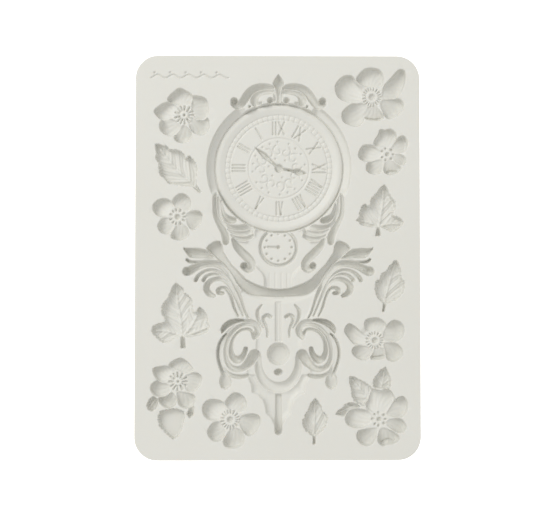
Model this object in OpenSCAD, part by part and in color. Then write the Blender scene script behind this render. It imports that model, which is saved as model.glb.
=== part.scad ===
// Casting mould for resin, soap or wax: one flat sheet of cast silicone rubber.
// Its upper face holds a bracket clock between eight flowers and five leaves,
// with more leaves behind two of the flowers, all sunk as cavities. The castings
// come out the right way round, so the dial is cut as a mirror image: its
// numerals run anticlockwise and read backwards.
// Origin: middle of the underside. The cavities open upwards, the crown of the
// clock points along +Y.

/* [Sheet] */
// Width across the short side
sheet_w = 148; // [120:1:200]
// Length
sheet_l = 210; // [170:1:280]
// Radius of the four upright corners
corner_r = 12; // [2:0.5:20]
// Plain land from the edge to the nearest cavity
border = 6.4; // [3:0.2:12]
// Rubber left under the deepest cavity
floor_t = 3; // [1.5:0.5:8]

/* [Cavity depths] */
// Slot round the bezel, and the large ball: the deepest cavities
rim_depth = 7; // [6:0.5:12]
// Dial floor
dial_depth = 5; // [3:0.25:5.5]
// Scrolls and acanthus strokes
scroll_depth = 5.4; // [3:0.2:5.8]
// Body round the small dial, and the step under the shelf
body_depth = 3.2; // [2.4:0.2:3.8]
// Thin back panel that joins the scrolls
panel_depth = 1.8; // [1:0.2:2.4]
// Flower petals
petal_depth = 5; // [3:0.25:6]
// Leaves
leaf_depth = 3.6; // [2:0.2:6]
// Veins, stamens, numerals and hands, below the floor they stand on
mark_depth = 0.8; // [0.3:0.1:1]

/* [Dial] */
// Radius of the dial floor
dial_r = 28.5; // [26:0.5:30]
// Width of the bezel, from the dial floor to the outside of the slot round it
bezel_w = 5.7; // [4:0.1:7]
// Width of the rounded moulding outside the slot
moulding_w = 3.3; // [2:0.1:4]
// Length of a numeral along the radius
numeral_l = 6.6; // [4:0.2:8]
// Width of a numeral stroke
numeral_w = 0.7; // [0.4:0.1:1]
// Radius of the small dial
small_r = 8.6; // [6:0.2:9]

/* [Hidden] */
rubber = "#dfded8";

thickness = floor_t + rim_depth;
// the artwork is drawn full size for this field, and scaled to keep its border
field_w = 135.2;
field_l = 197.2;
art = min((sheet_w - 2 * border) / field_w, (sheet_l - 2 * border) / field_l);
over = 1;             // how far a cutter stands above the upper face
slot_r = dial_r + bezel_w;
rim_r = slot_r + moulding_w;
clock_x = 0.4;        // axis of the clock
dial_y = 45.6;        // centre of the dial
small_y = 5;          // centre of the small dial
shelf_y = 13.7;       // centre of the shelf's arcs
shelf_in = 30.2;      // inner radius of the shelf
shelf_out = 35.2;     // outer radius of the shelf
ball_y = -50.3;       // large ball
ball_r = 6.7;
steps = 3;            // straight pieces for each span of a curve
round_fn = 28;

// ---- curves -------------------------------------------------------------
// a point of the Catmull-Rom curve between b and c
function between(a, b, c, d, t) =
    0.5 * (2 * b + (c - a) * t + (2 * a - 5 * b + 4 * c - d) * t * t
           + (3 * b - a - 3 * c + d) * t * t * t);

// smooth closed curve through the points p
function closed(p) = [for (i = [0 : len(p) - 1], k = [0 : steps - 1])
    between(p[(i + len(p) - 1) % len(p)], p[i], p[(i + 1) % len(p)],
            p[(i + 2) % len(p)], k / steps)];

// smooth open curve through the points p
function opened(p) = let (n = len(p) - 1) concat(
    [for (i = [0 : n - 1], k = [0 : steps - 1])
        between(p[max(i - 1, 0)], p[i], p[i + 1], p[min(i + 2, n)], k / steps)],
    [p[n]]);

function unit(v) = v / norm(v);

// outline of a stroke along p with round ends; w holds the half widths at the
// start, the middle and the end
function stroke(p, w) =
    let (c = opened(p), n = len(c) - 1,
         dir = [for (i = [0 : n]) unit(c[min(i + 1, n)] - c[max(i - 1, 0)])],
         nrm = [for (d = dir) [-d[1], d[0]]],
         hw = [for (i = [0 : n]) let (t = i / n)
               w[0] * (1 - t) * (1 - 2 * t) + 4 * w[1] * t * (1 - t) + w[2] * t * (2 * t - 1)])
    concat([for (i = [0 : n]) c[i] + nrm[i] * hw[i]],
           [for (a = [45 : 45 : 135]) c[n] + hw[n] * (nrm[n] * cos(a) + dir[n] * sin(a))],
           [for (i = [n : -1 : 0]) c[i] - nrm[i] * hw[i]],
           [for (a = [45 : 45 : 135]) c[0] - hw[0] * (nrm[0] * cos(a) + dir[0] * sin(a))]);

function arc(r, a0, a1, n) = [for (i = [0 : n]) let (a = a0 + (a1 - a0) * i / n)
    r * [cos(a), sin(a)]];

// ---- clock, right-hand half; x is measured from the clock's axis ----------
// each stroke is [points along its middle, half widths]
scrolls = [
    // crown: outer scroll, inner scroll, small curl
    [[[2.6, 88.2], [8.5, 88.7], [13.3, 86.6], [16.6, 83.2], [19.4, 79.3], [22.4, 78.5], [23.3, 80.2]],
        [1.2, 1.7, 1.4]],
    [[[1.2, 85.5], [3.8, 86.3], [7.6, 86.2], [11.2, 84.6], [13, 81.8], [11.8, 79.6], [9.6, 80]],
        [0.7, 1.1, 0.8]],
    [[[0.9, 84.4], [1, 81.4], [2.4, 80], [4.2, 81]], [0.6, 0.8, 0.9]],
    // bracket beside the dial and its inner curl
    [[[32.4, 33.5], [32.9, 28.5], [32.6, 24.5], [31.4, 19.5], [29.2, 14.5], [27.4, 10], [27.2, 7.5]],
        [0.6, 1.6, 1.6]],
    [[[30.6, 31], [30.2, 27], [29.2, 23.5], [27.2, 20.5], [24.8, 18.9], [22.8, 18.7]], [0.4, 0.9, 1.2]],
    // three lobes under the dial
    [[[27.8, 18], [24.5, 15.9], [20, 15.6], [15.4, 15.3]], [0.5, 1, 1.5]],
    [[[26, 14.4], [22, 12.8], [18, 12.9], [14.6, 13.2]], [0.4, 0.9, 1]],
    [[[24.6, 11.4], [20.8, 9.9], [17.4, 9.8], [14.2, 10.2]], [0.4, 0.9, 0.9]],
    // S-scroll beside the small dial
    [[[23.2, 8.2], [21.2, 4.6], [18.2, 1.8], [15.3, -0.6], [14, -3.4], [14.6, -5.4], [17, -5.9]],
        [0.8, 1.9, 1.5]],
    // side acanthus: small tip, ball-ended leaf with its stem, two thin leaves
    [[[47.4, -0.9], [46.4, -2], [43.5, -2.6], [40, -2.4]], [0.5, 0.6, 0.5]],
    [[[47.5, -7.6], [44, -6.9], [40.6, -4.9], [37, -3.4], [33.2, -3.3], [30.2, -4.6], [27.6, -7.4],
      [25, -11.2], [22.6, -15.4], [20.6, -20], [18.6, -25.4], [16.6, -30], [14, -33.6]], [2.2, 1.8, 0.8]],
    [[[42.7, -12], [41.4, -9.6], [38.4, -7.5], [34.6, -6.8], [31, -7.6], [27.6, -10.3], [24.4, -14.6],
      [21.9, -20.5], [19.8, -27], [17.4, -31.6]], [0.8, 0.6, 0.4]],
    [[[38.9, -11.8], [37.6, -10.1], [34.6, -9], [31.2, -9.1], [28.6, -10]], [0.7, 0.55, 0.4]],
    // side acanthus: large curl and small curl with their stems
    [[[34, -20.5], [37, -18.8], [38, -15.6], [36.4, -12.6], [32.6, -11.3], [28.6, -11.7],
      [25.2, -14.2], [23.2, -18.4]], [0.8, 1.15, 0.5]],
    [[[28.6, -18.5], [30.8, -18.9], [31.4, -17], [29.6, -15.5], [27.2, -16], [25, -19], [23.4, -24],
      [20.7, -30.4]], [0.8, 0.65, 0.4]],
    // large C-scroll: hooked lobe, outer, second and inner strokes, lower lobe
    [[[20.4, -34.4], [16.4, -33.9], [13.2, -35], [11.3, -37.8], [11.4, -40.4], [12.8, -42]],
        [0.7, 1.8, 0.8]],
    [[[23, -36], [27.4, -39.6], [30.8, -45.5], [31, -52], [28.8, -59], [27.8, -63], [27.4, -66.3]],
        [0.6, 0.9, 2.1]],
    [[[25, -38], [28, -44], [28.4, -50], [26.8, -55.4], [22.6, -58.7], [17.2, -58.2], [13, -54.4],
      [12.2, -51]], [0.6, 1.1, 2.8]],
    [[[16.6, -47.9], [17.8, -51], [20.8, -53.2], [23.8, -51.7], [25.2, -47.6], [24.2, -42.8],
      [20.8, -39], [16.6, -37.7], [14, -38.9], [13.4, -41.4]], [1, 1.1, 0.6]],
    [[[29.2, -54.5], [26.5, -59.5], [22, -61.8], [16, -61.6]], [0.4, 0.95, 0.8]],
    // S-stroke and hook on the lower panel
    [[[8, -24.7], [10.7, -28], [9.6, -31.8], [7, -35.5], [5.6, -41]], [0.45, 0.6, 0.35]],
    [[[3.9, -30.6], [5.6, -29.6], [7.6, -30.8], [7.2, -34], [5.7, -38.5]], [0.8, 0.6, 0.35]],
];

// round ends of the scrolls: [x, y, radius]
balls = [[22.6, 81.2, 1.9], [4.4, 81.8, 1.6], [15.2, 78.8, 0.9], [17.6, -4.6, 1.7], [47.3, -7.6, 2.3]];

finial = [[0, 95], [1.5, 93], [2.8, 90.4], [2.1, 88.3], [0.9, 86], [0.8, 80]];
top_leaf = [[36.4, 2.9], [39.6, 4.2], [44, 4.4], [47.4, 4.4], [48.9, 5], [48.8, 3.4], [47.2, 1.5],
    [45.6, -0.4], [42.6, -1.3], [37, -0.7], [32.6, -1.2]];
cap_leaf = [[29.6, -39.4], [29.2, -37], [27.7, -34.3], [25, -32.8], [21.4, -32.2], [18.4, -32.6],
    [22.8, -34.6], [26.2, -37]];
trumpet = [[28.6, 2.4], [29.2, 6], [30.4, 8.1], [31.9, 8.2], [33.8, 7.6], [36, 6.2], [37.4, 4.4],
    [34.8, 1.5], [32.4, -0.6], [30, -2.7], [28.3, -4.4], [26, -7.2], [24.2, -9.8], [22.4, -12.8],
    [20.4, -15.6], [17.6, -10.8], [24.6, -3.8]];
body_edge = [[0, 14], [12.2, 14.2], [12.6, 10.8], [17, 7.8], [22, 8.6], [19, 3.6], [14.4, 0],
    [12.6, -4], [10.4, -6.6], [8.4, -8.6], [7.4, -11.4], [7.4, -17], [0, -18]];
crown_field = [[0, 86], [6, 88], [12, 86.6], [16.4, 82.4], [19.4, 78.4], [22, 77], [22, 70], [0, 76]];
panel_edge = [[0, -18], [20.4, -15.6], [19.6, -21], [17.8, -26.4], [15.4, -31.2], [12.6, -35.4],
    [11.4, -41], [11.8, -48], [14.4, -55], [17.4, -60.6], [15.6, -62.6], [14, -66], [13.6, -70.2],
    [10.6, -71.4], [8, -73.8], [6.9, -77], [6.3, -80.8], [3.6, -83.6], [1.9, -87.4], [1.8, -91],
    [0, -92.2]];

// ---- flowers: [centre, petals]; each petal is a smooth closed outline ------
flowers = [
    [[-48.7, 74], [
        [[-50, 79], [-54.5, 80.2], [-57, 81.5], [-56.2, 83.4], [-53.5, 86], [-51, 87.5], [-48, 86.3],
            [-44.8, 84], [-45.2, 80.5]],
        [[-53, 75.5], [-52.6, 78.6], [-57.2, 80.2], [-61, 78.6], [-64, 75.8], [-62, 72.8],
            [-59.5, 71.4], [-55.5, 72.5]],
        [[-53.5, 71], [-57, 71.8], [-60.2, 70.8], [-61.2, 67.6], [-59.6, 64.6], [-55.6, 63],
            [-52.6, 64.6], [-50.6, 68]],
        [[-49, 68.6], [-51, 66.5], [-53.5, 62.6], [-52.4, 60.2], [-49.5, 59.4], [-46.6, 60.3],
            [-44.8, 63.2], [-46.6, 67]],
        [[-46, 69.5], [-45, 66], [-42, 64], [-38.5, 63.7], [-36.3, 65.6], [-35.8, 69], [-36.8, 72],
            [-41.5, 70.8], [-44, 72]],
        [[-44.8, 75.5], [-44.6, 79.5], [-44.2, 83.2], [-41, 83.4], [-37.4, 82], [-36.4, 78.6],
            [-36.4, 74.5], [-38.5, 71.8], [-42.5, 72]]]],
    [[-52, 20.8], [
        [[-50.5, 25], [-53.8, 26.5], [-54, 29.6], [-52, 31.8], [-49.6, 32.6], [-46.8, 31.2],
            [-45.3, 28.5], [-45.6, 25.2], [-47.8, 24.2]],
        [[-56, 23], [-58, 21.3], [-61.5, 21.3], [-64, 23.6], [-64.4, 26.6], [-62.4, 29], [-59, 30],
            [-56, 29], [-54.4, 26.4]],
        [[-55.5, 19.6], [-58.5, 20.2], [-61, 18.2], [-61.9, 15.6], [-60.4, 12.8], [-57.5, 12],
            [-55, 13.4], [-54, 16.4]],
        [[-51, 17.5], [-53.2, 15.4], [-54.8, 11.6], [-54.4, 9.6], [-50.5, 8.8], [-47, 10.2],
            [-46.2, 12.6], [-47.4, 15.6]],
        [[-47.8, 21.4], [-45.4, 23.2], [-41.4, 23.6], [-39.4, 22], [-39.6, 19.4], [-40.8, 16.4],
            [-43.6, 14.2], [-46.4, 16.2]]]],
    [[-51.5, -64.5], [
        [[-51.5, -58.5], [-55, -57.3], [-55.8, -55.6], [-53.5, -53.7], [-50, -52.6], [-47, -54.2],
            [-44.8, -56.6], [-44, -59], [-47.5, -60.6]],
        [[-55, -62.6], [-53, -60.2], [-54.4, -58], [-57, -56.8], [-60.5, -56.8], [-64, -57.8],
            [-63.8, -60], [-62, -63.3], [-59, -64.4]],
        [[-56, -66.2], [-59.5, -65.4], [-62.8, -64.4], [-65.2, -66.6], [-64.8, -69.6], [-62, -71.8],
            [-58.5, -71.6], [-56, -69.6]],
        [[-54.4, -70.2], [-57.5, -72.2], [-61.3, -73.2], [-59.8, -76], [-57, -77.7], [-53.8, -77.2],
            [-52.2, -74]],
        [[-51.8, -69.8], [-51.6, -73.5], [-50, -76.8], [-46.8, -78], [-44, -76.8], [-42.8, -73],
            [-44.4, -71], [-48.6, -70]],
        [[-48.6, -65.5], [-48.2, -62], [-44, -60], [-40.8, -60.6], [-39.4, -62.6], [-40.4, -66.5],
            [-42.8, -69.2], [-46.6, -69.4]]]],
    [[-24.5, -84.2], [
        [[-22.5, -80.2], [-25.5, -78.2], [-26.8, -75.2], [-24.8, -72], [-21.8, -70.4], [-18.6, -71.6],
            [-16.6, -74.4], [-16.6, -77.6], [-18.6, -79.8]],
        [[-28.4, -82.2], [-26.8, -79.2], [-27.6, -76], [-31, -74], [-35.4, -74], [-38.2, -76.4],
            [-38.3, -80.6], [-35.8, -83.5], [-31.6, -84]],
        [[-28.6, -86.6], [-30.8, -85.3], [-33.8, -86.4], [-35.9, -89.8], [-35, -93], [-32.2, -95],
            [-28.8, -94], [-27.2, -90.6]],
        [[-24.4, -89.4], [-26.2, -92], [-27.7, -95], [-26.8, -97.6], [-22.5, -98.4], [-18.8, -97.2],
            [-17.4, -94], [-18.6, -90.4], [-21, -88.6]],
        [[-19.8, -83.6], [-17.6, -82], [-13, -81.2], [-9.8, -82.4], [-9.2, -85], [-11, -89.6],
            [-14.6, -92.2], [-17.6, -90.2], [-19.4, -87]]]],
    [[49.3, 83.6], [
        [[49.5, 88.4], [45, 89.5], [41.3, 92.2], [42.6, 95], [45.8, 97.8], [50, 98.3], [53.4, 97],
            [54.9, 93.5], [54.2, 89]],
        [[44.4, 86.6], [41, 90.6], [38.8, 94], [35, 94.2], [31.8, 91.8], [30.2, 89], [30.8, 85],
            [33.2, 82.2], [37.5, 80.8], [43, 81.2]],
        [[45, 80], [40, 79.8], [36.4, 78], [33.8, 75], [34.2, 71], [37.4, 69], [41, 68.3],
            [44, 70.2], [46.6, 77.8]],
        [[47.4, 78.6], [44.8, 75.6], [45.4, 72.8], [48.5, 71.2], [52, 71.3], [53.8, 73.4],
            [51.4, 78.4]],
        [[54.4, 82], [59, 82], [63.6, 82], [65.2, 79], [64.2, 75.4], [60.4, 72.6], [56, 72.6],
            [53.6, 76.4]],
        [[54.6, 83.2], [55.4, 88.4], [59, 93], [62.8, 97], [65, 97.6], [66.4, 96], [66.2, 91],
            [64.2, 86], [62, 83.4], [58, 82.8]]]],
    [[57.2, 53.6], [
        [[57.8, 57.4], [53.6, 57.8], [50.5, 58.6], [50.8, 61], [52.6, 63.6], [53.4, 66], [56, 65.8],
            [58.6, 66.4], [61.2, 64.6], [61.6, 61.6], [60, 59.2]],
        [[55, 54], [52.4, 56], [49, 57.9], [45, 57.9], [43, 55.8], [42.2, 52.8], [43.8, 50.6],
            [47, 49.8], [51.6, 51]],
        [[54.4, 50.4], [50.5, 50.2], [46.8, 48.4], [46.6, 45], [49.6, 43.3], [53, 43.8], [54.4, 46.4]],
        [[57, 50.4], [55.6, 47.6], [55.6, 44.6], [58, 43], [61.6, 43.8], [64, 46], [62, 48.4],
            [59.2, 50.4]],
        [[59.8, 52.2], [60.4, 53.6], [64, 53.4], [66.2, 51.6], [66.4, 49], [64.8, 48], [61.6, 49.6]],
        [[59, 54.8], [59.6, 57.2], [61.6, 60.4], [64, 62.6], [66.2, 62.4], [67.4, 59.6], [66.8, 56.4],
            [65, 54.6], [61.6, 54.4]]]],
    [[50.4, -43.3], [
        [[50.5, -39], [46.4, -38.4], [45.1, -35.6], [45.8, -32.9], [48.5, -32], [51.4, -31.8],
            [54.4, -33.2], [56, -35.4], [55, -38.4]],
        [[46.8, -41.6], [43, -39], [39.6, -36], [37, -34.8], [35.4, -36.4], [34.8, -38.6],
            [36.4, -41.2], [39.2, -44.6], [42.6, -45.3], [46.4, -44.6]],
        [[47.4, -47], [44, -46.2], [40.6, -46.4], [38.8, -48], [39.2, -50.4], [42, -52.6], [45, -53.2],
            [47.4, -52], [49.4, -49]],
        [[51, -47.6], [49.6, -48.8], [48, -51.8], [50.8, -52.6], [54.8, -51.8], [56, -50],
            [54.8, -47.4]],
        [[55, -45], [58.4, -44.6], [61.6, -45.2], [64.2, -48], [64.2, -51.2], [61.8, -53.4],
            [58.8, -53.8], [56.4, -52], [56, -48.6]],
        [[55, -42.6], [55.2, -38.8], [57, -35.4], [60, -33.1], [63.4, -34], [65.2, -36.6],
            [65, -40.2], [62.8, -43], [58.8, -44]]]],
    [[52.5, -84], [
        [[50.5, -80.6], [47.4, -79.2], [46.2, -76], [48.2, -72], [50.4, -69], [54.6, -68.4],
            [58, -69.4], [60, -72.4], [58.6, -76], [55.6, -80.2]],
        [[49, -84.5], [48.4, -81.6], [45, -79.4], [40, -78.8], [36.6, -80.4], [35.2, -83.6],
            [36.4, -86.6], [41, -88.2], [45.6, -87.4]],
        [[51, -88.6], [46, -89.2], [41.8, -90.2], [41.2, -93.6], [43.6, -96.6], [47.2, -97.2],
            [50, -94.6], [51.2, -91.4]],
        [[54.4, -88.4], [52.4, -91], [52, -95], [54.2, -97.4], [57, -96.6], [60.6, -96],
            [62.8, -93.6], [60, -90.8]],
        [[56, -86.2], [57.4, -84.4], [60.6, -83.8], [64, -84.2], [66.2, -87.4], [65.2, -90.2],
            [62, -90.4], [58.6, -88.6]],
        [[56.4, -81.4], [58, -78.4], [60, -75.2], [62.6, -72.8], [65, -72.6], [66.8, -75],
            [66.8, -79], [64.4, -82.6], [60, -82.8]]]],
];

// ---- leaves: [serrated outline, veins]; each vein is [from, to] -------------
leaves = [
    // toothed leaf, upper left
    [[[-63.6, 58.6], [-61.8, 58.6], [-60, 57.8], [-57.8, 58], [-56, 55.9], [-53, 55.8], [-51.8, 55.6],
        [-49.6, 54.6], [-48.2, 52.8], [-47.6, 51], [-46, 52.9], [-44, 51], [-42.2, 48.4],
        [-41.6, 45.4], [-42, 41.6], [-42.4, 37.6], [-39.8, 33.6], [-40.6, 33.2], [-44.4, 36.6],
        [-48, 36.6], [-52, 37.2], [-57, 37.9], [-58, 39.6], [-61.4, 42.6], [-61.9, 46],
        [-61.7, 48.4], [-63.2, 50.4], [-63.7, 52], [-63, 53.4]],
     [[[-62, 57], [-43.6, 38]], [[-60, 44], [-47, 41.6]], [[-52.4, 55], [-46, 44]],
        [[-58, 39.4], [-45.6, 39]]]],
    // three-lobed leaf, lower left
    [[[-52.7, -13.5], [-50.4, -15.2], [-48.6, -16.2], [-48.2, -18.4], [-46, -20], [-44.2, -22],
        [-43.8, -26], [-42.8, -28.6], [-41, -28], [-40.4, -25.7], [-38, -27.6], [-36.7, -29.6],
        [-36, -32.2], [-36.3, -34.2], [-35.2, -36.2], [-36.4, -38.8], [-40, -40.6], [-46, -41.6],
        [-48.2, -41.4], [-47.5, -47.2], [-50.1, -47.2], [-50, -41.2], [-52.5, -41.8],
        [-55.6, -44], [-59, -44.6], [-61.6, -43], [-64, -40.4], [-65.2, -38.2], [-64.4, -35.8],
        [-62, -34.4], [-58.4, -33.6], [-58.2, -32.2], [-60.2, -29.4], [-60, -25.6], [-58.6, -23],
        [-57, -21.4], [-55.4, -17.6], [-54, -14.8]],
     [[[-52.6, -16], [-49.8, -39]], [[-63, -38.4], [-51, -39.8]], [[-40.4, -28], [-48.4, -39]],
        [[-38, -37.6], [-48, -40.2]]]],
    // three-lobed leaf, upper right
    [[[55.5, 37.6], [56.8, 36], [58, 33.4], [59.2, 31.2], [60.4, 29.8], [61.3, 28.6], [61.5, 24.8],
        [60.2, 23.4], [60.1, 21.4], [62.6, 20.9], [64.2, 19.8], [65.4, 17.9], [64.4, 16],
        [62.4, 13.8], [59.6, 12.8], [57.2, 13.6], [55, 15], [53, 15.6], [53.4, 10.8], [50.8, 10.8],
        [51.6, 15.4], [46, 15.7], [43, 16.8], [42.2, 18.2], [40.6, 18.9], [42, 20], [42.6, 21.4],
        [42.1, 22.6], [43, 24.8], [43.4, 26.4], [45.4, 27.7], [47.4, 26.2], [48, 27.4],
        [48.3, 30.2], [50.2, 32.3], [52, 34.2], [52.6, 35.4], [54.2, 36.6]],
     [[[55.2, 35.6], [53, 18]], [[45.2, 25.6], [51.6, 17.6]], [[63.6, 18], [54.6, 16.8]]]],
    // long toothed leaf, right
    [[[61.6, -1.8], [62.6, -3.2], [63.4, -5], [64.1, -6.8], [64.2, -9.4], [64.6, -11.4],
        [65.8, -12.6], [66.2, -14.6], [65.4, -18.4], [63.8, -20.4], [61.2, -22.6], [57.6, -24],
        [56.2, -24], [55.2, -28.6], [54.2, -28.4], [54.8, -23.8], [52.2, -22.2], [51, -19.8],
        [50.2, -16.6], [50.5, -14], [51, -12.2], [53, -11.6], [53.2, -9.8], [54.2, -8.2],
        [56, -7.4], [57.2, -6], [57.8, -4.2], [59.4, -3.8], [60.2, -2.2]],
     [[[61.4, -3.6], [55.6, -22.6]], [[64.8, -14], [57.6, -17.6]], [[52, -14], [56, -20.6]]]],
    // small leaf at the foot of the clock
    [[[19.4, -73], [20.4, -74], [21.8, -75.8], [22.8, -77.4], [23.2, -79.6], [24.8, -80.8],
        [25.9, -82.6], [25.7, -85.8], [24.6, -88.2], [22.2, -90.8], [19.5, -92.6], [19.4, -96.8],
        [18.2, -96.8], [18.2, -92.6], [14.4, -90], [12.9, -87.4], [12.6, -84], [13.8, -83.4],
        [13.9, -81.4], [15.6, -79], [16.3, -77.2], [17, -75.6], [18.4, -74.2]],
     [[[19.4, -74.6], [18.9, -91.4]], [[24.4, -82.6], [19.4, -88]], [[14.4, -84], [18.8, -89.4]]]],
    // leaves behind the lower left flower
    [[[-60.4, -79.4], [-61.8, -83], [-60.8, -87.6], [-58, -90], [-55.6, -92.8], [-53.8, -94.3],
        [-51.4, -92.6], [-49.4, -90.2], [-48.6, -87], [-47.9, -83.6], [-45.2, -83.2], [-43.2, -80.8],
        [-42.8, -77.4], [-47, -78.6], [-51.6, -77.2], [-57, -78.4]],
     [[[-53.8, -92.6], [-54, -79]]]],
    [[[-64.2, -71.8], [-66.6, -73.8], [-67.5, -76.8], [-66.6, -79], [-64.4, -79.9], [-62.8, -78.6],
        [-61.4, -76.4], [-62, -73.4]],
     [[[-66, -77.4], [-63.2, -74.4]]]],
    // three leaves behind the lower right flower
    [[[55.9, -56.9], [57, -59.6], [58.7, -63], [58.6, -66.4], [57.2, -67.8], [52.6, -67.4],
        [49.2, -66.4], [49.2, -63.8], [50.4, -61.8], [52, -60], [52.8, -58.4], [54.4, -58]],
     [[[55.6, -58.4], [54, -66.6]]]],
    [[[37, -61.8], [39.4, -62], [42.6, -63.4], [45.6, -65], [48, -66.8], [48.2, -69.6], [46.6, -72.4],
        [45.4, -75.6], [42.4, -74.8], [39.4, -73.6], [38, -71.6], [38, -69], [37.2, -66]],
     [[[38, -62.8], [45.6, -72]]]],
    [[[29.8, -81.4], [31.2, -79.4], [33.6, -78], [34.6, -76], [37.6, -75], [41, -76], [43, -77.6],
        [40, -78.3], [36.4, -79.8], [34.6, -82.6]],
     [[[31, -80.6], [39.6, -76.8]]]],
];

// ---- dial -------------------------------------------------------------------
// strokes of each numeral from I to XII, as [shift at the foot, shift at the head]
i_bar = 1.6;
function bars(n) = [for (k = [0 : n - 1]) [k - (n - 1) / 2, k - (n - 1) / 2] * i_bar];
function vee(s) = [[s, s - 0.9], [s, s + 0.9]];
function cross(s) = [[s - 1, s + 1], [s + 1, s - 1]];
function shifted(list, s) = [for (b = list) [b[0] + s, b[1] + s]];
numerals = [
    bars(1), bars(2), bars(3), bars(4), vee(0),
    concat(vee(-1), shifted(bars(1), 1.2)),
    concat(vee(-1.8), shifted(bars(2), 1.1)),
    concat(vee(-2.6), shifted(bars(3), 1)),
    concat(shifted(bars(1), -1.6), cross(0.6)),
    cross(0),
    concat(cross(-0.6), shifted(bars(1), 1.6)),
    concat(cross(-1.5), shifted(bars(2), 1.5))];
numeral_in = dial_r - numeral_l - 4.5;
minute_hand = [[-0.5, 0], [-0.5, 5.5], [-1.1, 9.5], [-0.5, 14.5], [0, 18], [0.5, 14.5], [1.1, 9.5],
    [0.5, 5.5], [0.5, 0]];
hour_hand = [[-0.4, 0], [-0.4, 8], [-1.3, 10.4], [-0.6, 12.8], [0, 14.8], [0.6, 12.8], [1.3, 10.4],
    [0.4, 8], [0.4, 0]];
minute_turn = 47.5;
hour_turn = -98.6;
small_turn = 87.5;

// straight bar between two points, w wide
module bar(from, to, w) {
    side = [from[1] - to[1], to[0] - from[0]] * w / 2 / norm(to - from);
    polygon([from + side, from - side, to - side, to + side]);
}

// one numeral; the upper ones stand with their heads outwards, the lower ones
// with their heads towards the centre, and all of them are mirrored
module numeral(hour) {
    turn = 30 * hour;
    low = hour > 3 && hour < 9;
    rotate(turn) for (b = numerals[hour - 1])
        bar([-b[low ? 1 : 0] * (low ? -1 : 1), numeral_in],
            [-b[low ? 0 : 1] * (low ? -1 : 1), numeral_in + numeral_l], numeral_w);
}

module dial_marks() {
    for (hour = [1 : 12])
        numeral(hour);
    rotate(minute_turn)
        polygon(minute_hand);
    rotate(hour_turn)
        polygon(hour_hand);
    circle(r = 2.2, $fn = round_fn);
}

module small_dial_marks() {
    for (hour = [1 : 12])
        rotate(30 * hour)
            translate([0, 7.1])
                circle(r = 0.5, $fn = 12);
    rotate(small_turn)
        bar([0, 0], [0, 6], 0.6);
    circle(r = 1.1, $fn = round_fn);
}

// ---- flat outlines of the cavities --------------------------------------------
module both_sides() {
    for (side = [0, 1])
        mirror([side, 0])
            children();
}

module clock_scrolls() {
    both_sides() {
        for (s = scrolls)
            polygon(stroke(s[0], s[1]));
        for (b = balls)
            translate([b[0], b[1]])
                circle(r = b[2], $fn = round_fn);
        polygon(finial);
        polygon(top_leaf);
        polygon(cap_leaf);
        polygon(trumpet);
    }
    translate([0, shelf_y])
        polygon(concat(arc(shelf_in, -138, -42, 32), arc(shelf_out, -42 - 12, -138 + 12, 32)));
    // cup under the ball, small ball and the rod of the drop
    polygon(stroke([[-10.8, -53], [-10.4, -58.5], [-7.6, -64.2], [0, -67.9], [7.6, -64.2],
        [10.4, -58.5], [10.8, -53]], [1, 1.6, 1]));
    translate([0, -59.4])
        circle(r = 2.1, $fn = round_fn);
    bar([0, -73], [0, -91], 2.6);
    bar([0, -23], [0, -43], 2.8);
}

module clock_body() {
    both_sides()
        polygon(body_edge);
    // step under the shelf
    translate([0, shelf_y])
        polygon(concat(arc(shelf_out - 1, -122, -58, 24), arc(38.3, -62, -118, 24)));
}

module clock_panel() {
    both_sides() {
        polygon(panel_edge);
        polygon(crown_field);
    }
}

module petals() {
    for (f = flowers)
        for (p = f[1])
            polygon(closed(p));
}

// flower centre: a boss left standing at leaf depth, ringed by stamens
module flower_eyes() {
    for (f = flowers)
        translate(f[0])
            circle(r = 3.6, $fn = round_fn);
}

module stamens() {
    for (f = flowers)
        translate(f[0]) {
            circle(r = 1.2, $fn = round_fn);
            for (a = [0 : 36 : 324])
                rotate(a)
                    translate([0, 2.9])
                        circle(r = 0.5, $fn = 8);
        }
}

module leaf_beds() {
    for (l = leaves)
        polygon(l[0]);
}

module leaf_veins() {
    for (l = leaves)
        for (v = l[1])
            bar(v[0], v[1], 0.7);
}

// ---- cutters ------------------------------------------------------------------
// a cavity with the outline of its children, down to a depth below the upper face
module pocket(depth) {
    translate([0, 0, thickness - depth])
        linear_extrude(height = depth + over)
            scale(art)
                offset(delta = 0.02)
                    children();
}

module sheet() {
    linear_extrude(height = thickness)
        union() {
            square([sheet_w - 2 * corner_r, sheet_l], center = true);
            square([sheet_w, sheet_l - 2 * corner_r], center = true);
            for (sx = [-1, 1], sy = [-1, 1])
                translate([sx * (sheet_w / 2 - corner_r), sy * (sheet_l / 2 - corner_r)])
                    circle(r = corner_r, $fn = 96);
        }
}

// dial floor, sloping bezel and slot, turned about the dial's centre, with the
// rounded moulding outside them down to the brackets
module dial_cavity() {
    moulding = 222;
    translate([clock_x * art, dial_y * art, thickness]) {
        rotate_extrude($fn = 128)
            polygon([[0, over], [0, -dial_depth], [dial_r * art, -dial_depth],
                [(slot_r - 1.2) * art, -dial_depth - 0.8], [(slot_r - 1) * art, -rim_depth],
                [slot_r * art, -rim_depth], [slot_r * art, over]]);
        rotate([0, 0, 90 - moulding / 2])
            rotate_extrude(angle = moulding, $fn = 128)
                polygon([[(slot_r - 0.4) * art, over], [(slot_r - 0.4) * art, -dial_depth - 0.4],
                    [(slot_r + 1.2) * art, -dial_depth], [(rim_r - 0.8) * art, -0.7 * dial_depth],
                    [rim_r * art, 0], [rim_r * art, over]]);
    }
}

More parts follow.
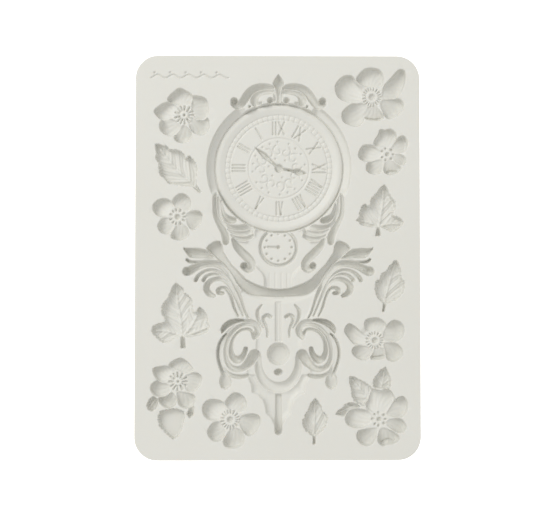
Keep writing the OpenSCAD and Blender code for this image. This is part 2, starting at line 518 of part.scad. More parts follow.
// two fine rings of the minute track, below the dial floor
module minute_track() {
    translate([clock_x * art, dial_y * art, thickness - dial_depth])
        for (r = [dial_r - 3.5, dial_r - 0.5])
            rotate_extrude($fn = 128)
                translate([(r - 0.4) * art, -0.3])
                    square([0.8 * art, 0.3 + dial_depth]);
}

module small_dial_cavity() {
    translate([clock_x * art, small_y * art, thickness]) {
        translate([0, 0, -body_depth - 0.6])
            cylinder(r = small_r * art, h = body_depth + over, $fn = 96);
        rotate_extrude($fn = 96)
            polygon([[small_r * art, over], [small_r * art, -scroll_depth],
                [(small_r + 1) * art, -scroll_depth], [(small_r + 1.6) * art, -body_depth],
                [(small_r + 1.6) * art, over]]);
    }
}

// a bowl with the ball's radius at the upper face, as deep as the rim slot
module ball_cavity() {
    bowl = (pow(ball_r * art, 2) + pow(rim_depth, 2)) / (2 * rim_depth);
    translate([clock_x * art, ball_y * art, thickness - rim_depth + bowl])
        intersection() {
            sphere(r = bowl, $fn = 96);
            translate([0, 0, over - bowl])
                cylinder(r = 2 * bowl, h = 2 * rim_depth, center = true, $fn = 48);
        }
}

module mould_body() {
    color(rubber)
        difference() {
            sheet();
            pocket(panel_depth)
                translate([clock_x, 0]) clock_panel();
            pocket(body_depth)
                translate([clock_x, 0]) clock_body();
            pocket(scroll_depth)
                translate([clock_x, 0]) clock_scrolls();
            dial_cavity();
            minute_track();
            small_dial_cavity();
            ball_cavity();
            pocket(dial_depth + mark_depth)
                translate([clock_x, dial_y]) dial_marks();
            pocket(body_depth + 0.6 + mark_depth)
                translate([clock_x, small_y]) small_dial_marks();
            pocket(petal_depth)
                difference() {
                    petals();
                    flower_eyes();
                }
            pocket(leaf_depth)
                flower_eyes();
            pocket(leaf_depth + mark_depth)
                stamens();
            pocket(leaf_depth)
                leaf_beds();
            pocket(leaf_depth + mark_depth)
                leaf_veins();
        }
}

mould_body();
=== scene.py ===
"""Flat silicone casting mould: a bracket clock, eight flowers and loose leaves, all sunk as cavities."""
import math

import bmesh
import bpy
import numpy as np
from mathutils import Euler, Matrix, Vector


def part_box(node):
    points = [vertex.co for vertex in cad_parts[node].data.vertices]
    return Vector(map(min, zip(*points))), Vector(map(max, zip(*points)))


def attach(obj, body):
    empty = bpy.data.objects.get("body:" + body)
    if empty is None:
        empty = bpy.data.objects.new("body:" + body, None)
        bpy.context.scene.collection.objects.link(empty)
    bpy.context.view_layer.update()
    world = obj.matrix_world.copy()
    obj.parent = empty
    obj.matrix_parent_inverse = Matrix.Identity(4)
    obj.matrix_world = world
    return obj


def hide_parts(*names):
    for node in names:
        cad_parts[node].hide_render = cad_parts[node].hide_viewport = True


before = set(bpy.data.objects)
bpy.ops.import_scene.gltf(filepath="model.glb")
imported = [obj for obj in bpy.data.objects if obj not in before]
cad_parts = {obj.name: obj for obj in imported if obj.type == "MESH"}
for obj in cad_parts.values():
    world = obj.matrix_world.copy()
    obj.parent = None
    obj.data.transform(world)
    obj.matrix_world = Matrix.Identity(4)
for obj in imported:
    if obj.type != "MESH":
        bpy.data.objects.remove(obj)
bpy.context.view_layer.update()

# ---- Camera ------------------------------------------------------------------------------
# It hangs over the middle of the mould and looks almost straight down.
low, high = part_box("mould_body")
MM = 0.001
camera_data = bpy.data.cameras.new("camera")
camera_data.lens = 70
camera_data.sensor_width = 36
camera_data.clip_start = 0.01
camera = bpy.data.objects.new("camera", camera_data)
camera.location = (-6.5 * MM, -19.3 * MM, high.z + 561.7 * MM)
camera.rotation_euler = Euler((math.radians(1.88), math.radians(-0.73), 0))
bpy.context.scene.collection.objects.link(camera)
bpy.context.scene.camera = camera

# ---- The sheet of rubber -----------------------------------------------------------------
# The mould is one sheet of platinum-cured silicone, poured over a carved master, so its face
# is the master's relief turned inside out. The face starts as a fine flat grid, and every
# cavity is pressed into it as a depth below the land, in millimetres.
width, length, thickness = [side / MM for side in high - low]
corner = 12.0          # radius of the upright corners
edge_round = 0.5       # rounding where the land turns down into the sides
pitch = 0.25           # spacing of the grid's points
columns = round(width / pitch)
rows = round(length / pitch)

sheet_bm = bmesh.new()
bmesh.ops.create_grid(sheet_bm, x_segments=columns, y_segments=rows, size=0.5)
face_mesh = bpy.data.meshes.new("mould_face")
sheet_bm.to_mesh(face_mesh)
sheet_bm.free()
place = np.zeros(len(face_mesh.vertices) * 3, np.float32)
face_mesh.vertices.foreach_get("co", place)
place = place.reshape(-1, 3).astype(float)
order = np.lexsort((np.round(place[:, 0] * columns), np.round(place[:, 1] * rows)))
gx = (place[order, 0] * (width - 2 * edge_round)).reshape(rows + 1, columns + 1)
gy = (place[order, 1] * (length - 2 * edge_round)).reshape(rows + 1, columns + 1)
# each row near the ends is drawn in, so that the grid's rim follows the round corners
corner_in = corner - edge_round
into_corner = np.clip(np.abs(gy) - (length / 2 - corner), 0, corner_in)
narrowed = width / 2 - corner + np.sqrt(corner_in**2 - into_corner**2)
gx = gx * narrowed / (width / 2 - edge_round)
depth = np.zeros_like(gx)   # how far each point lies below the land

# ---- Back panel and body of the clock ----------------------------------------------------
# Shallow flat pockets, which give the casting a thin web that holds the scrolls together. Places
# are in millimetres from the middle of the sheet, and half outlines from the clock's axis.
clock_x = 0.4
panel_depth = 1.2
body_depth = 2.0
drop_depth = 2.6
panel_edge = [(0, -18), (20.4, -15.6), (19.6, -21), (17.8, -26.4), (15.4, -31.2), (12.6, -35.4),
              (11.4, -41), (11.8, -48), (14.4, -55), (17.4, -60.6), (15.6, -62.6), (14, -66),
              (13.6, -70.2), (10.6, -71.4), (8, -73.8), (6.9, -77), (6.3, -80.8), (3.6, -83.6),
              (1.9, -87.4), (1.8, -91), (0, -92.2)]
crown_field = [(0, 86), (6, 88), (12, 86.6), (16.4, 82.4), (19.4, 78.4), (22, 77), (22, 70), (0, 76)]
body_edge = [(0, 14), (12.2, 14.2), (12.6, 10.8), (17, 7.8), (22, 8.6), (19, 3.6), (14.4, 0), (12.6, -4),
             (10.4, -6.6), (8.4, -8.6), (7.4, -11.4), (7.4, -17), (0, -18)]


def around(line, margin):
    """The grid points in the box round a line."""
    lo, hi = line.min(0) - margin, line.max(0) + margin
    return np.nonzero((gx > lo[0]) & (gx < hi[0]) & (gy > lo[1]) & (gy < hi[1]))


def nearest(px, py, line):
    """Each point's distance from a line, and how far along it the nearest place is, from 0 to 1."""
    away = np.full(px.shape, 1e9)
    part = np.zeros(px.shape)
    for k in range(len(line) - 1):
        (ax, ay), (dx, dy) = line[k], line[k + 1] - line[k]
        t = np.clip(((px - ax) * dx + (py - ay) * dy) / (dx * dx + dy * dy + 1e-12), 0, 1)
        gap = np.hypot(px - ax - t * dx, py - ay - t * dy)
        closer = gap < away
        away[closer] = gap[closer]
        part[closer] = (k + t[closer]) / (len(line) - 1)
    return away, part


def inside(px, py, ring):
    """True where a point is inside a closed outline."""
    found = np.zeros(px.shape, bool)
    for (ax, ay), (bx, by) in zip(ring, np.roll(ring, -1, 0)):
        crosses = (ay > py) != (by > py)
        if ay != by:
            found ^= crosses & (px < ax + (py - ay) * (bx - ax) / (by - ay))
    return found


def edge_of(ring, margin):
    """The grid points round an outline: how far from its edge, how far along it, and which are inside."""
    ring = np.array(ring, float)
    spot = around(ring, margin)
    px, py = gx[spot], gy[spot]
    away, part = nearest(px, py, np.vstack([ring, ring[:1]]))
    return spot, away, part, inside(px, py, ring)


def press(spot, deeper):
    """Sinks the grid points at spot to a depth, where they aren't deeper already."""
    depth[spot] = np.maximum(depth[spot], deeper)


def bowl(ring, deepest, reach):
    """A hollow with an outline; its wall curves into the floor over a distance called reach."""
    spot, away, _, within = edge_of(ring, 0.5)
    t = np.clip(away / reach, 0, 1)
    press(spot, within * deepest * np.sqrt(1 - (1 - t)**2))


def right(points):
    """Points given from the clock's axis, on its right-hand side; a third value is kept."""
    return [(clock_x + p[0], *p[1:]) for p in points]


def left(points):
    """The same points on the left-hand side."""
    return [(clock_x - p[0], *p[1:]) for p in points]


def whole(half_outline):
    """A closed outline from its right-hand half, which runs from top to bottom."""
    return right(half_outline) + left(half_outline[::-1])


bowl(whole(panel_edge), panel_depth, 2.2)
bowl(whole(crown_field), panel_depth, 0.8)
bowl(whole(body_edge), body_depth, 1.2)
drop_edge = [(0, -69.4), (5, -68.6), (9, -65.4), (12, -60.4)] + panel_edge[9:]
bowl(whole(drop_edge), drop_depth, 3.0)

# ---- Dial, its bezel and the moulding round it --------------------------------------------
# The dial has a flat floor. Round it the rubber rises in a soft band and then drops into a narrow
# slot, which give the casting a dished bezel with a thin ring outside it. Beyond the slot a cove
# runs from the crown down to the brackets.
dial_x, dial_y = 0.7, 46.5
dial_depth = 4.6
dial_r = 28.5
band_rise = 0.9        # how far the band stands above the dial's floor
band_fall = 0.5        # how far it falls again towards the slot
slot_in, slot_out = 33.3, 34.1
slot_depth = 5.2
rim_r = 37.5
cove_depth = 3.4       # at its outer edge, and 1 mm more beside the slot


def ease(x, start, end):
    """Smooth change from 0 at start to 1 at end."""
    t = np.clip((x - start) / (end - start), 0, 1)
    return t * t * (3 - 2 * t)


spot = np.nonzero(np.hypot(gx - dial_x, gy - dial_y) < rim_r)
dx, dy = gx[spot] - dial_x, gy[spot] - dial_y
r = np.hypot(dx, dy)
t = np.clip((r - dial_r) / (slot_in - dial_r), 0, 1)
dial_face = dial_depth - band_rise * ease(r, dial_r - 0.3, dial_r + 3.2) + band_fall * t**3
dial_face = np.where(r > slot_in, slot_depth * ease(slot_out + 0.15 - r, 0, 0.4), dial_face)
press(spot, dial_face)
cove = np.clip((r - slot_out) / (rim_r - slot_out), 0, 1)
from_top = np.degrees(np.arctan2(np.abs(dx), dy))
sides = ease(dy, -15.5, -9.5) * ease(from_top, 27, 35)
press(spot, np.where(r > slot_out - 0.3, sides * (cove_depth + 1.0 * (1 - cove)) * (1 - cove**9)**0.5, 0))

# three fine rings: two for the minute track and one round the fretwork
ring_half, ring_depth = 0.45, 0.45
for ring_r in (28.0, 25.6, 15.9):
    spot = np.nonzero(np.abs(np.hypot(gx - dial_x, gy - dial_y) - ring_r) < ring_half)
    r = np.hypot(gx[spot] - dial_x, gy[spot] - dial_y)
    depth[spot] += ring_depth * (1 - (np.abs(r - ring_r) / ring_half)**2)

# ---- Marks on the dial ---------------------------------------------------------------------
# Minute ticks, Roman numerals and the two hands; all run anticlockwise, as in any mould.
numeral_in = 17.7
numeral_l = 6.7
numeral_out = numeral_in + numeral_l
hand_depth = 2.3


def scratch(points, half, extra):
    """A fine line cut a little deeper than the floor it stands on."""
    line = np.array(points, float)
    spot = around(line, half + 0.1)
    away, _ = nearest(gx[spot], gy[spot], line)
    depth[spot] += extra * (1 - np.clip(away / half, 0, 1)**2)


def dot(x, y, half, extra):
    """A round dent cut a little deeper than the floor it stands on."""
    scratch([(x, y), (x + 0.05, y)], half, extra)


def sink(ring, extra, reach):
    """An outline cut deeper than the floor it stands on, with sloping walls."""
    spot, away, _, within = edge_of(ring, 0.3)
    depth[spot] += extra * ease(np.where(within, away, -away), -0.2, reach)


def dial_point(turn, out, side=0.0):
    """A point on the dial, given by its turn from the top, its radius and a step to the left."""
    a = math.radians(turn)
    return (dial_x - out * math.sin(a) - side * math.cos(a),
            dial_y + out * math.cos(a) - side * math.sin(a))


for minute in range(60):
    scratch([dial_point(6 * minute, 25.8), dial_point(6 * minute, 27.8)], 0.45, 0.4)


# strokes of the numerals, each as its sideways place at the foot and at the head
def vee(s):
    return [(s, s - 0.9), (s, s + 0.9)]


def cross(s):
    return [(s - 1.5, s + 1.5), (s + 1.5, s - 1.5)]


def ones(count, s=0.0):
    return [(s + 1.6 * (k - (count - 1) / 2),) * 2 for k in range(count)]


numerals = [ones(1), ones(2), ones(3), ones(4), vee(0), vee(-1) + ones(1, 1.2),
            vee(-1.8) + ones(2, 1.1), vee(-2.6) + ones(3, 1), ones(1, -2.2) + cross(0.6),
            cross(0), cross(-0.6) + ones(1, 2.2), cross(-1.4) + ones(2, 2.3)]
for hour, strokes in enumerate(numerals, 1):
    foot, head, way = numeral_in, numeral_out, 1
    if 3 < hour < 9:   # the lower ones stand upright too, with their feet outwards
        foot, head, way = numeral_out, numeral_in, -1
    for at_foot, at_head in strokes:
        scratch([dial_point(30 * hour, foot, way * at_foot), dial_point(30 * hour, head, way * at_head)],
                0.5, 0.95)

# each hand as (step sideways, radius), with the turn it stands at
minute_hand = [(-0.7, 0), (-0.7, 4), (-1.2, 8), (-1.3, 11), (0, 17.4), (1.3, 11), (1.2, 8), (0.7, 4),
               (0.7, 0)]
hour_hand = [(-0.7, 0), (-0.7, 7.4), (-1.8, 10), (-1, 12.6), (0, 15), (1, 12.6), (1.8, 10), (0.7, 7.4),
             (0.7, 0)]
for turn, hand in ((48.5, minute_hand), (-100.5, hour_hand)):
    sink([dial_point(turn, out, side) for side, out in hand], hand_depth, 0.6)
bowl([dial_point(a, 2.4) for a in range(0, 360, 15)], dial_depth + hand_depth, 0.7)
np.minimum(depth, dial_depth + hand_depth, out=depth, where=np.hypot(gx - dial_x, gy - dial_y) < 20)

# fretwork inside the small circle: paired curls and a ring of dots, only just cut in
for turn in range(20, 380, 60):
    for way in (1, -1):
        curl = []
        for t in np.linspace(0, 1, 12):
            coil = 3.0 * (1 - 0.7 * t)
            out, side = 8.8 + coil * math.cos(5.2 * t), 2.7 - coil * math.sin(5.2 * t)
            curl.append(dial_point(turn, out, way * side))
        scratch(curl, 0.5, 0.6)
    for out, side in ((5.2, 0), (13.6, 0), (13.2, 4.2), (13.2, -4.2)):
        dot(*dial_point(turn, out, side), 0.7, 0.8)

# ---- Small dial ------------------------------------------------------------------------------
# A second dial in the body, with dots for its hours, one hand and a round groove about it.
small_y = 5.0
small_r = 8.6
small_depth = body_depth + 0.5
groove_depth = 4.0
dots_r = 7.0
spot = np.nonzero((np.hypot(gx - clock_x, gy - small_y) < small_r + 1.8)
                  & (np.hypot(gx - dial_x, gy - dial_y) > slot_out - 0.2))
r = np.hypot(gx[spot] - clock_x, gy[spot] - small_y)
press(spot, np.where(r < small_r, small_depth, 0))
press(spot, groove_depth * np.sqrt(np.clip(1 - (np.abs(r - small_r - 0.8) / 1.0)**2.4, 0, 1)))
for hour in range(12):
    a = math.radians(30 * hour)
    dot(clock_x + dots_r * math.sin(a), small_y + dots_r * math.cos(a), 0.75, 1.3)
scratch([(clock_x, small_y), (clock_x - 5.6, small_y + 0.2)], 0.6, 1.2)
bowl([(clock_x + 1.2 * math.cos(b), small_y + 1.2 * math.sin(b)) for b in np.arange(0, 2 * math.pi, 0.4)],
     body_depth + 2.2, 0.7)

# ---- Shelf under the clock -------------------------------------------------------------------
# A crescent with a deep rounded floor, and a lighter step below it that turns up to the panel.
# Its turn is in degrees from the lowest point; it bulges near 26 and narrows towards its ends.
shelf_y = 13.7
shelf_in, shelf_out, step_out = 30.2, 34.9, 38.3
shelf_depth = 6.6
step_depth = 2.7
spot = np.nonzero((gy < shelf_y - 15) & (np.hypot(gx - clock_x, gy - shelf_y) < step_out + 0.5))
dx, dy = gx[spot] - clock_x, gy[spot] - shelf_y
r = np.hypot(dx, dy)
turn = np.degrees(np.arctan2(np.abs(dx), -dy))
brim = shelf_out + 1.9 * np.exp(-((turn - 26) / 11)**2) - 2.5 * ease(turn, 38, 50)
tread = shelf_depth * ease(r, shelf_in - 0.1, shelf_in + 0.8) * ease(brim - r, 0, 0.9)
press(spot, np.where(turn < 52, tread - 2.0 * ease(turn, 20, 50), 0))
step = step_depth - 1.5 * ease(r, shelf_out, step_out)
press(spot, np.where((r >= shelf_out - 0.2) & (r < step_out) & (turn < 31), step, 0))

# trumpet-shaped end on each side
trumpet = [(28.6, 2.4), (29.2, 6), (30.4, 8.1), (31.9, 8.2), (33.8, 7.6), (36, 6.2), (37.4, 4.4),
           (34.8, 1.5), (32.4, -0.6), (30, -2.7), (28.3, -4.4), (26, -7.2), (24.2, -9.8), (22.4, -12.8),
           (20.4, -15.6), (17.6, -10.8), (24.6, -3.8)]
for side in (right, left):
    bowl(side(trumpet), 4.6, 0.9)

# ---- Scrolls, acanthus and drop -----------------------------------------------------------------
# Half-round channels that taper and curl; each is listed once, for the right-hand side, with x
# measured from the clock's axis and a half width at each point. The wider, the deeper. Beds are
# the shallow pockets that the scrolls stand in, each with its depth.
beds = [
    # under the bracket and its lobes
    ([(31.8, 34.5), (33.8, 30), (34, 25), (32.9, 20), (30.6, 15.2), (28.9, 8.5), (26, 8.6), (24.2, 10.6),
      (21, 8.2), (14, 8.4), (12.4, 10.6), (12.2, 16.4), (16, 17), (20, 16), (25, 16.6), (28.2, 19),
      (29.6, 24), (30, 30)], 1.5),
    # under the acanthus and its stems
    ([(47.6, -9.4), (48.8, -7), (46, -4.6), (42, -3.6), (39, -1.6), (33, -0.6), (28, -3), (24, -8),
      (20, -15), (17.2, -26), (14.6, -32.4), (20.6, -31), (23.6, -25), (26, -18.4), (31, -16.4),
      (34, -20), (38, -17), (36.6, -12.6), (38.8, -12.4), (38.6, -9.6), (42.4, -12), (42, -9)], 1.0),
    # under the large C-scroll
    ([(10, -36), (13, -33.4), (19, -32.6), (25, -36.4), (28.6, -41), (31.4, -47), (31.4, -53), (29, -59),
      (24, -61.6), (16, -62), (17, -56), (20, -50.6), (24.4, -53), (24.8, -46), (23.6, -42), (20, -38.2),
      (16, -37.4), (13, -38.6)], 1.1),
]
scrolls = [
    # crown: outer scroll, inner scroll, small curl
    [(2.8, 88.2, 0.9), (6, 88.7, 1.4), (9.5, 88.6, 1.6), (12.6, 87.6, 1.8), (15.2, 85.5, 2),
     (17.3, 82.6, 2), (19.2, 79.9, 1.9), (21.4, 78.7, 1.8), (23.2, 79.6, 1.6)],
    [(2.4, 86.1, 1), (5, 86.4, 1.4), (8.2, 86, 1.5), (11, 84.7, 1.8), (12.5, 82.5, 2.1), (12, 80.2, 2),
     (10.4, 79.5, 1.4), (9, 80.4, 0.7)],
    [(2.4, 87.2, 0.7), (1.8, 84.6, 0.85), (1.8, 81.8, 0.95), (3.2, 80.4, 1), (4.3, 81.4, 1.1)],
    # bracket beside the dial, its second band and its inner curl
    [(31.9, 35, 0.5), (33, 31, 0.9), (33.1, 26, 1.05), (32.6, 21.8, 1.2), (31, 18, 1.4), (29, 14.4, 1.6),
     (27.5, 11, 1.7), (27.2, 7.7, 1.6)],
    [(31.4, 31, 0.6), (31.1, 26.5, 1), (30.6, 22.4, 1), (29.2, 18.8, 0.9), (27.4, 15.8, 0.6)],
    [(30, 29, 0.6), (29.4, 25, 0.9), (28.4, 22, 1.2), (26.6, 20, 1.6), (24.6, 19, 1.8), (23.2, 18.9, 1.5)],
    # three lobes under the dial
    [(28.2, 18, 0.5), (25.4, 15.8, 1), (22, 15, 1.3), (18.8, 15.1, 1.5), (15.8, 15.6, 1.6)],
    [(26.2, 14.2, 0.5), (23.2, 12.7, 1), (20, 12.2, 1.3), (17, 12.4, 1.4), (14.6, 13.2, 1.5)],
    [(24.6, 11.4, 0.5), (22, 10, 1), (19, 9.4, 1.2), (16, 9.6, 1.3), (13.8, 10.8, 1.3)],
    # S-scroll beside the small dial
    [(23.4, 8.8, 1), (21.5, 5.4, 1.8), (18.9, 2.5, 2.1), (16.2, -0.1, 2.2), (14.2, -2.7, 2.1),
     (14, -5.2, 2), (15.6, -6.6, 1.7), (17.6, -6, 1.2)],
    # side acanthus: small tip, ball-ended leaf with its stem, two thin leaves
    [(47.4, -1.5, 0.7), (46, -2.5, 0.75), (43.6, -2.8, 0.65), (40.4, -2.5, 0.4)],
    [(46.6, -7.6, 2.2), (43.6, -6, 1.9), (40.6, -4.5, 1.8), (36.8, -3.6, 1.75), (32.8, -3.6, 1.7),
     (29.4, -5, 1.65), (26.6, -7.8, 1.6), (24.2, -11.4, 1.4), (22.2, -15.4, 1.1), (20.2, -19.6, 0.9),
     (18.7, -24, 0.75), (17.4, -28, 0.65), (15.6, -31.6, 0.5)],
    [(42.8, -12.2, 0.95), (41.6, -10, 0.85), (39.6, -8.3, 0.8), (36.6, -7, 0.75), (33.6, -6.8, 0.75),
     (30.6, -7.8, 0.7), (28, -9.8, 0.7), (25.6, -12.9, 0.65), (23.6, -17, 0.6), (22, -21.5, 0.6),
     (20.2, -26, 0.55), (18.2, -30.6, 0.45)],
    [(38.8, -12.2, 0.9), (37.8, -10.6, 0.8), (35.6, -9.3, 0.75), (32.6, -8.9, 0.7), (29.8, -9.9, 0.65),
     (27.6, -11.8, 0.5)],
    # side acanthus: large curl and small curl with their stems
    [(33.4, -20.2, 0.9), (35.6, -19.2, 1.4), (37.1, -17, 1.6), (36.8, -14.4, 1.5), (34.6, -12.4, 1.3),
     (31.4, -11.4, 1.15), (28.2, -12.2, 1), (25.8, -14.6, 0.8), (24, -18, 0.6), (22.4, -22, 0.4)],
    [(28.9, -18.9, 0.9), (30.8, -18.6, 1.1), (31.2, -17.2, 1.1), (29.7, -16.1, 0.9), (27.5, -16.2, 0.8),
     (25.8, -18, 0.75), (24.4, -21.2, 0.7), (23.4, -24.8, 0.65), (22.2, -28, 0.55), (20.8, -30.8, 0.4)],
    # large C-scroll: rim of the hook, second stroke from hook to blob, inner stroke, lower lobe
    [(18.4, -33.3, 0.6), (15.6, -33.1, 0.9), (12.8, -33.9, 1.1), (10.9, -35.6, 1.2), (10.2, -38, 1.3),
     (10.9, -40.4, 1.2), (12.2, -41.9, 0.8)],
    [(12.4, -42, 0.9), (11.2, -40, 1.3), (10.8, -37.6, 1.5), (12, -35.6, 1.3), (14.6, -34.8, 1.1),
     (17.8, -35, 1), (21.2, -36.6, 1), (24.2, -39.4, 1), (26.2, -43, 1.1), (27.3, -47.6, 1.15),
     (27.2, -52, 1.2), (25.8, -55.8, 1.3), (22.6, -58, 1.4), (19, -57.8, 1.6), (16, -55.6, 2.1),
     (13.6, -52.8, 2.8), (12.2, -51, 3.1)],
    [(16.9, -47.6, 1.1), (17.6, -50, 1.3), (19, -52.2, 1.6), (21, -53.4, 1.9), (23.3, -52.2, 1.6),
     (24.5, -49.4, 1.3), (24.5, -46, 1), (23.8, -43, 0.8), (22.2, -40.4, 0.7), (20, -38.4, 0.7),
     (17.4, -37.5, 0.7), (15, -37.6, 0.7), (13.5, -39, 0.7), (13, -41.4, 0.7)],
    [(28.4, -57.6, 0.5), (26, -60.2, 0.9), (22.6, -61.7, 1), (19, -62, 1), (15.8, -61.3, 0.9)],
    # S-stroke and hook on the lower panel
    [(8.6, -25, 0.5), (10.6, -27.6, 0.9), (10.8, -30.6, 1), (9.8, -33.6, 0.8), (7.6, -36.8, 0.5)],
    [(4, -31.1, 1), (5.8, -30.2, 1), (7.6, -31.3, 1), (7.6, -33.4, 0.9), (6.4, -36, 0.8),
     (5.7, -38.5, 0.7), (5.8, -41.6, 0.5)],
]
outer_band = [(26.2, -40.4, 0.4), (28, -42.8, 1.3), (29.6, -47.4, 1.9), (29.6, -52, 1.9),
              (28.6, -56, 1.5), (27.2, -59.4, 1.1)]
outer_groove = [(27, -39.8, 0.3), (28.6, -41.4, 0.5), (30.3, -44.2, 0.6), (31.3, -48, 0.65),
                (31.3, -52, 0.65), (30.3, -56, 0.7), (28.8, -59.8, 0.8), (28, -62, 0.9)]
foot = [(28.8, -59.6), (30.2, -62.5), (30.4, -65), (29.5, -67.6), (27.4, -68.6), (25.2, -67.4),
        (24.2, -65), (24.8, -62.4), (26.2, -60.2), (27.4, -58.6)]
# ball ends as (x, y, radius)
ball_ends = [(23, 81, 1.9), (4.2, 81.6, 1.75), (15, 78.5, 0.8), (14.4, 15.2, 1.7), (17.8, -4.8, 1.9),
             (47.3, -7.6, 2.35)]
foot_depth = 3.0
band_depth, band_groove_depth = 2.0, 3.6
top_leaf_depth, cap_leaf_depth = 4.4, 4.8
finial_depth = 4.2
ridge_rise = 0.7       # of the fine ridges along the leaves
finial = [(0, 95.3), (0.9, 94), (2.1, 92.3), (2.9, 90.6), (2.5, 89.2), (1.5, 87.6), (1.2, 84), (1.3, 80)]
top_leaf = [(49, 5), (48.4, 4.4), (46, 4.4), (42, 4.4), (38.4, 3.8), (36, 2.6), (33, 0.2), (32, -1),
            (35, -1.1), (39, -0.6), (43, -0.7), (45.6, -0.4), (46.9, 0.8), (48.3, 2.8), (49.2, 4)]
cap_leaf = [(29.3, -39.8), (29.9, -37.6), (29, -35.4), (27.2, -33.7), (24.9, -32.5), (22, -32),
            (19, -32.1), (16.6, -32.6), (19, -33.7), (21.4, -34.4), (24, -35.5), (26.4, -37),
            (28.2, -38.8)]


def curve(points, closed=False, steps=6):
    """Smooth line through a few given points."""
    p = np.array(points, float)
    n = len(p)
    line = []
    for i in range(n if closed else n - 1):
        if closed:
            a, b, c, d = p[i - 1], p[i], p[(i + 1) % n], p[(i + 2) % n]
        else:
            a, b, c, d = p[max(i - 1, 0)], p[i], p[i + 1], p[min(i + 2, n - 1)]
        for t in np.arange(steps) / steps:
            line.append((2 * b + (c - a) * t + (2 * a - 5 * b + 4 * c - d) * t**2
                         + (3 * b - a - 3 * c + d) * t**3) / 2)
    return np.array(line + ([] if closed else [p[-1]]))


def channel(points, deepest=None):
    """A round-bottomed channel; each point along its middle is (x, y, half width)."""
    line = curve(points)
    spot = around(line[:, :2], line[:, 2].max() + 0.2)
    away, t = nearest(gx[spot], gy[spot], line[:, :2])
    half = np.interp(t, np.linspace(0, 1, len(line)), line[:, 2])
    across = np.clip(away / half, 0, 1)
    deep = np.minimum(5.2, 1.6 + 1.5 * half) if deepest is None else deepest
    press(spot, deep * np.sqrt(1 - across**3.0))


for side in (right, left):
    for outline, level in beds:
        bowl(side(outline), level, 1.2)
    for points in scrolls:
        channel(side(points))
    channel(side(outer_band), band_depth)
    channel(side(outer_groove), band_groove_depth)
    bowl(side(foot), foot_depth, 0.9)
    for x, y, ball_r in ball_ends:
        (cx, cy), = side([(x, y)])
        spot = around(np.array([[cx, cy]]), ball_r + 0.3)
        r = np.hypot(gx[spot] - cx, gy[spot] - cy) / ball_r
        press(spot, (1.8 + 1.6 * ball_r) * np.sqrt(np.clip(1 - r**2.4, 0, 1)))
    bowl(side(top_leaf), top_leaf_depth, 1.6)
    bowl(side(cap_leaf), cap_leaf_depth, 1.2)
    for vein in ([(48, 3.8), (44, 2.9), (39, 2.2), (35, 0.9)], [(46.4, 1.2), (42, 0.9), (37.4, 0.3)],
                 [(44.4, -6.8), (40.6, -5.2), (36.4, -4.1), (32, -4.4), (29, -6), (26.4, -9)],
                 [(28.6, -37.4), (25.6, -35.2), (22, -33.8), (18.6, -33.2)]):
        scratch(side(vein), 0.5, -ridge_rise)
bowl(whole(finial), finial_depth, 2.0)

# the cup under the ball, the rods, the small ball and the large ball
cup = [(9.9, -52, 1), (10.3, -56.4, 1.9), (9.2, -60.8, 2.3), (6.8, -64.6, 2.6), (3.4, -67, 2.8),
       (0, -67.6, 2.8)]
cup_depth = 3.8
drop_rod = [(0, -71), (1.8, -71), (1.8, -89.8), (1.3, -91.4), (0, -92)]
panel_rod = [(0, -23), (1.8, -23), (1.8, -44), (0, -44)]
channel(right(cup) + left(cup)[-2::-1], cup_depth)
bowl(whole(drop_rod), 4.3, 0.8)
bowl(whole(panel_rod), 2.4, 0.6)
for line_x in (-1.0, 0.5):
    scratch([(clock_x + line_x, -24), (clock_x + line_x, -43.6)], 0.35, -0.3)
for line_x in (-4.6, -1.6, 1.6, 4.6):
    scratch([(clock_x + line_x, -8.6), (clock_x + line_x, -16)], 0.5, 0.3)
bead_y, bead_depth = -59.7, 4.8
spot = np.nonzero((np.abs(gx - clock_x) < 2.8) & (np.abs(gy - bead_y) < 2.2))
r = np.hypot((gx[spot] - clock_x) / 2.4, (gy[spot] - bead_y) / 1.85)
press(spot, bead_depth * np.sqrt(np.clip(1 - r**2.4, 0, 1)))
# the large ball has a steep rim, a hollow side and a smaller, deeper round at its middle
ball_y, ball_r = -50.3, 6.5
spot = np.nonzero(np.hypot(gx - clock_x, gy - ball_y) < ball_r)
r = np.hypot(gx[spot] - clock_x, gy[spot] - ball_y) / ball_r
press(spot, 3.0 * ease(1 - r, 0, 0.24) + 1.1 * ease(-r, -0.72, -0.66) + 1.0 * np.sqrt(1 - r**2))

# ---- Upper left corner -------------------------------------------------------------------------
# A plain engraved flourish, a wave with a row of dots.
wave_y, dots_y = 94, 95.9
scratch([(x, wave_y + 0.9 * math.sin(0.78 * x)) for x in np.arange(-66, -25, 0.5)], 0.45, 0.8)
for x in np.arange(-64, -26, 8.06):
    dot(x, dots_y, 0.75, 0.9)

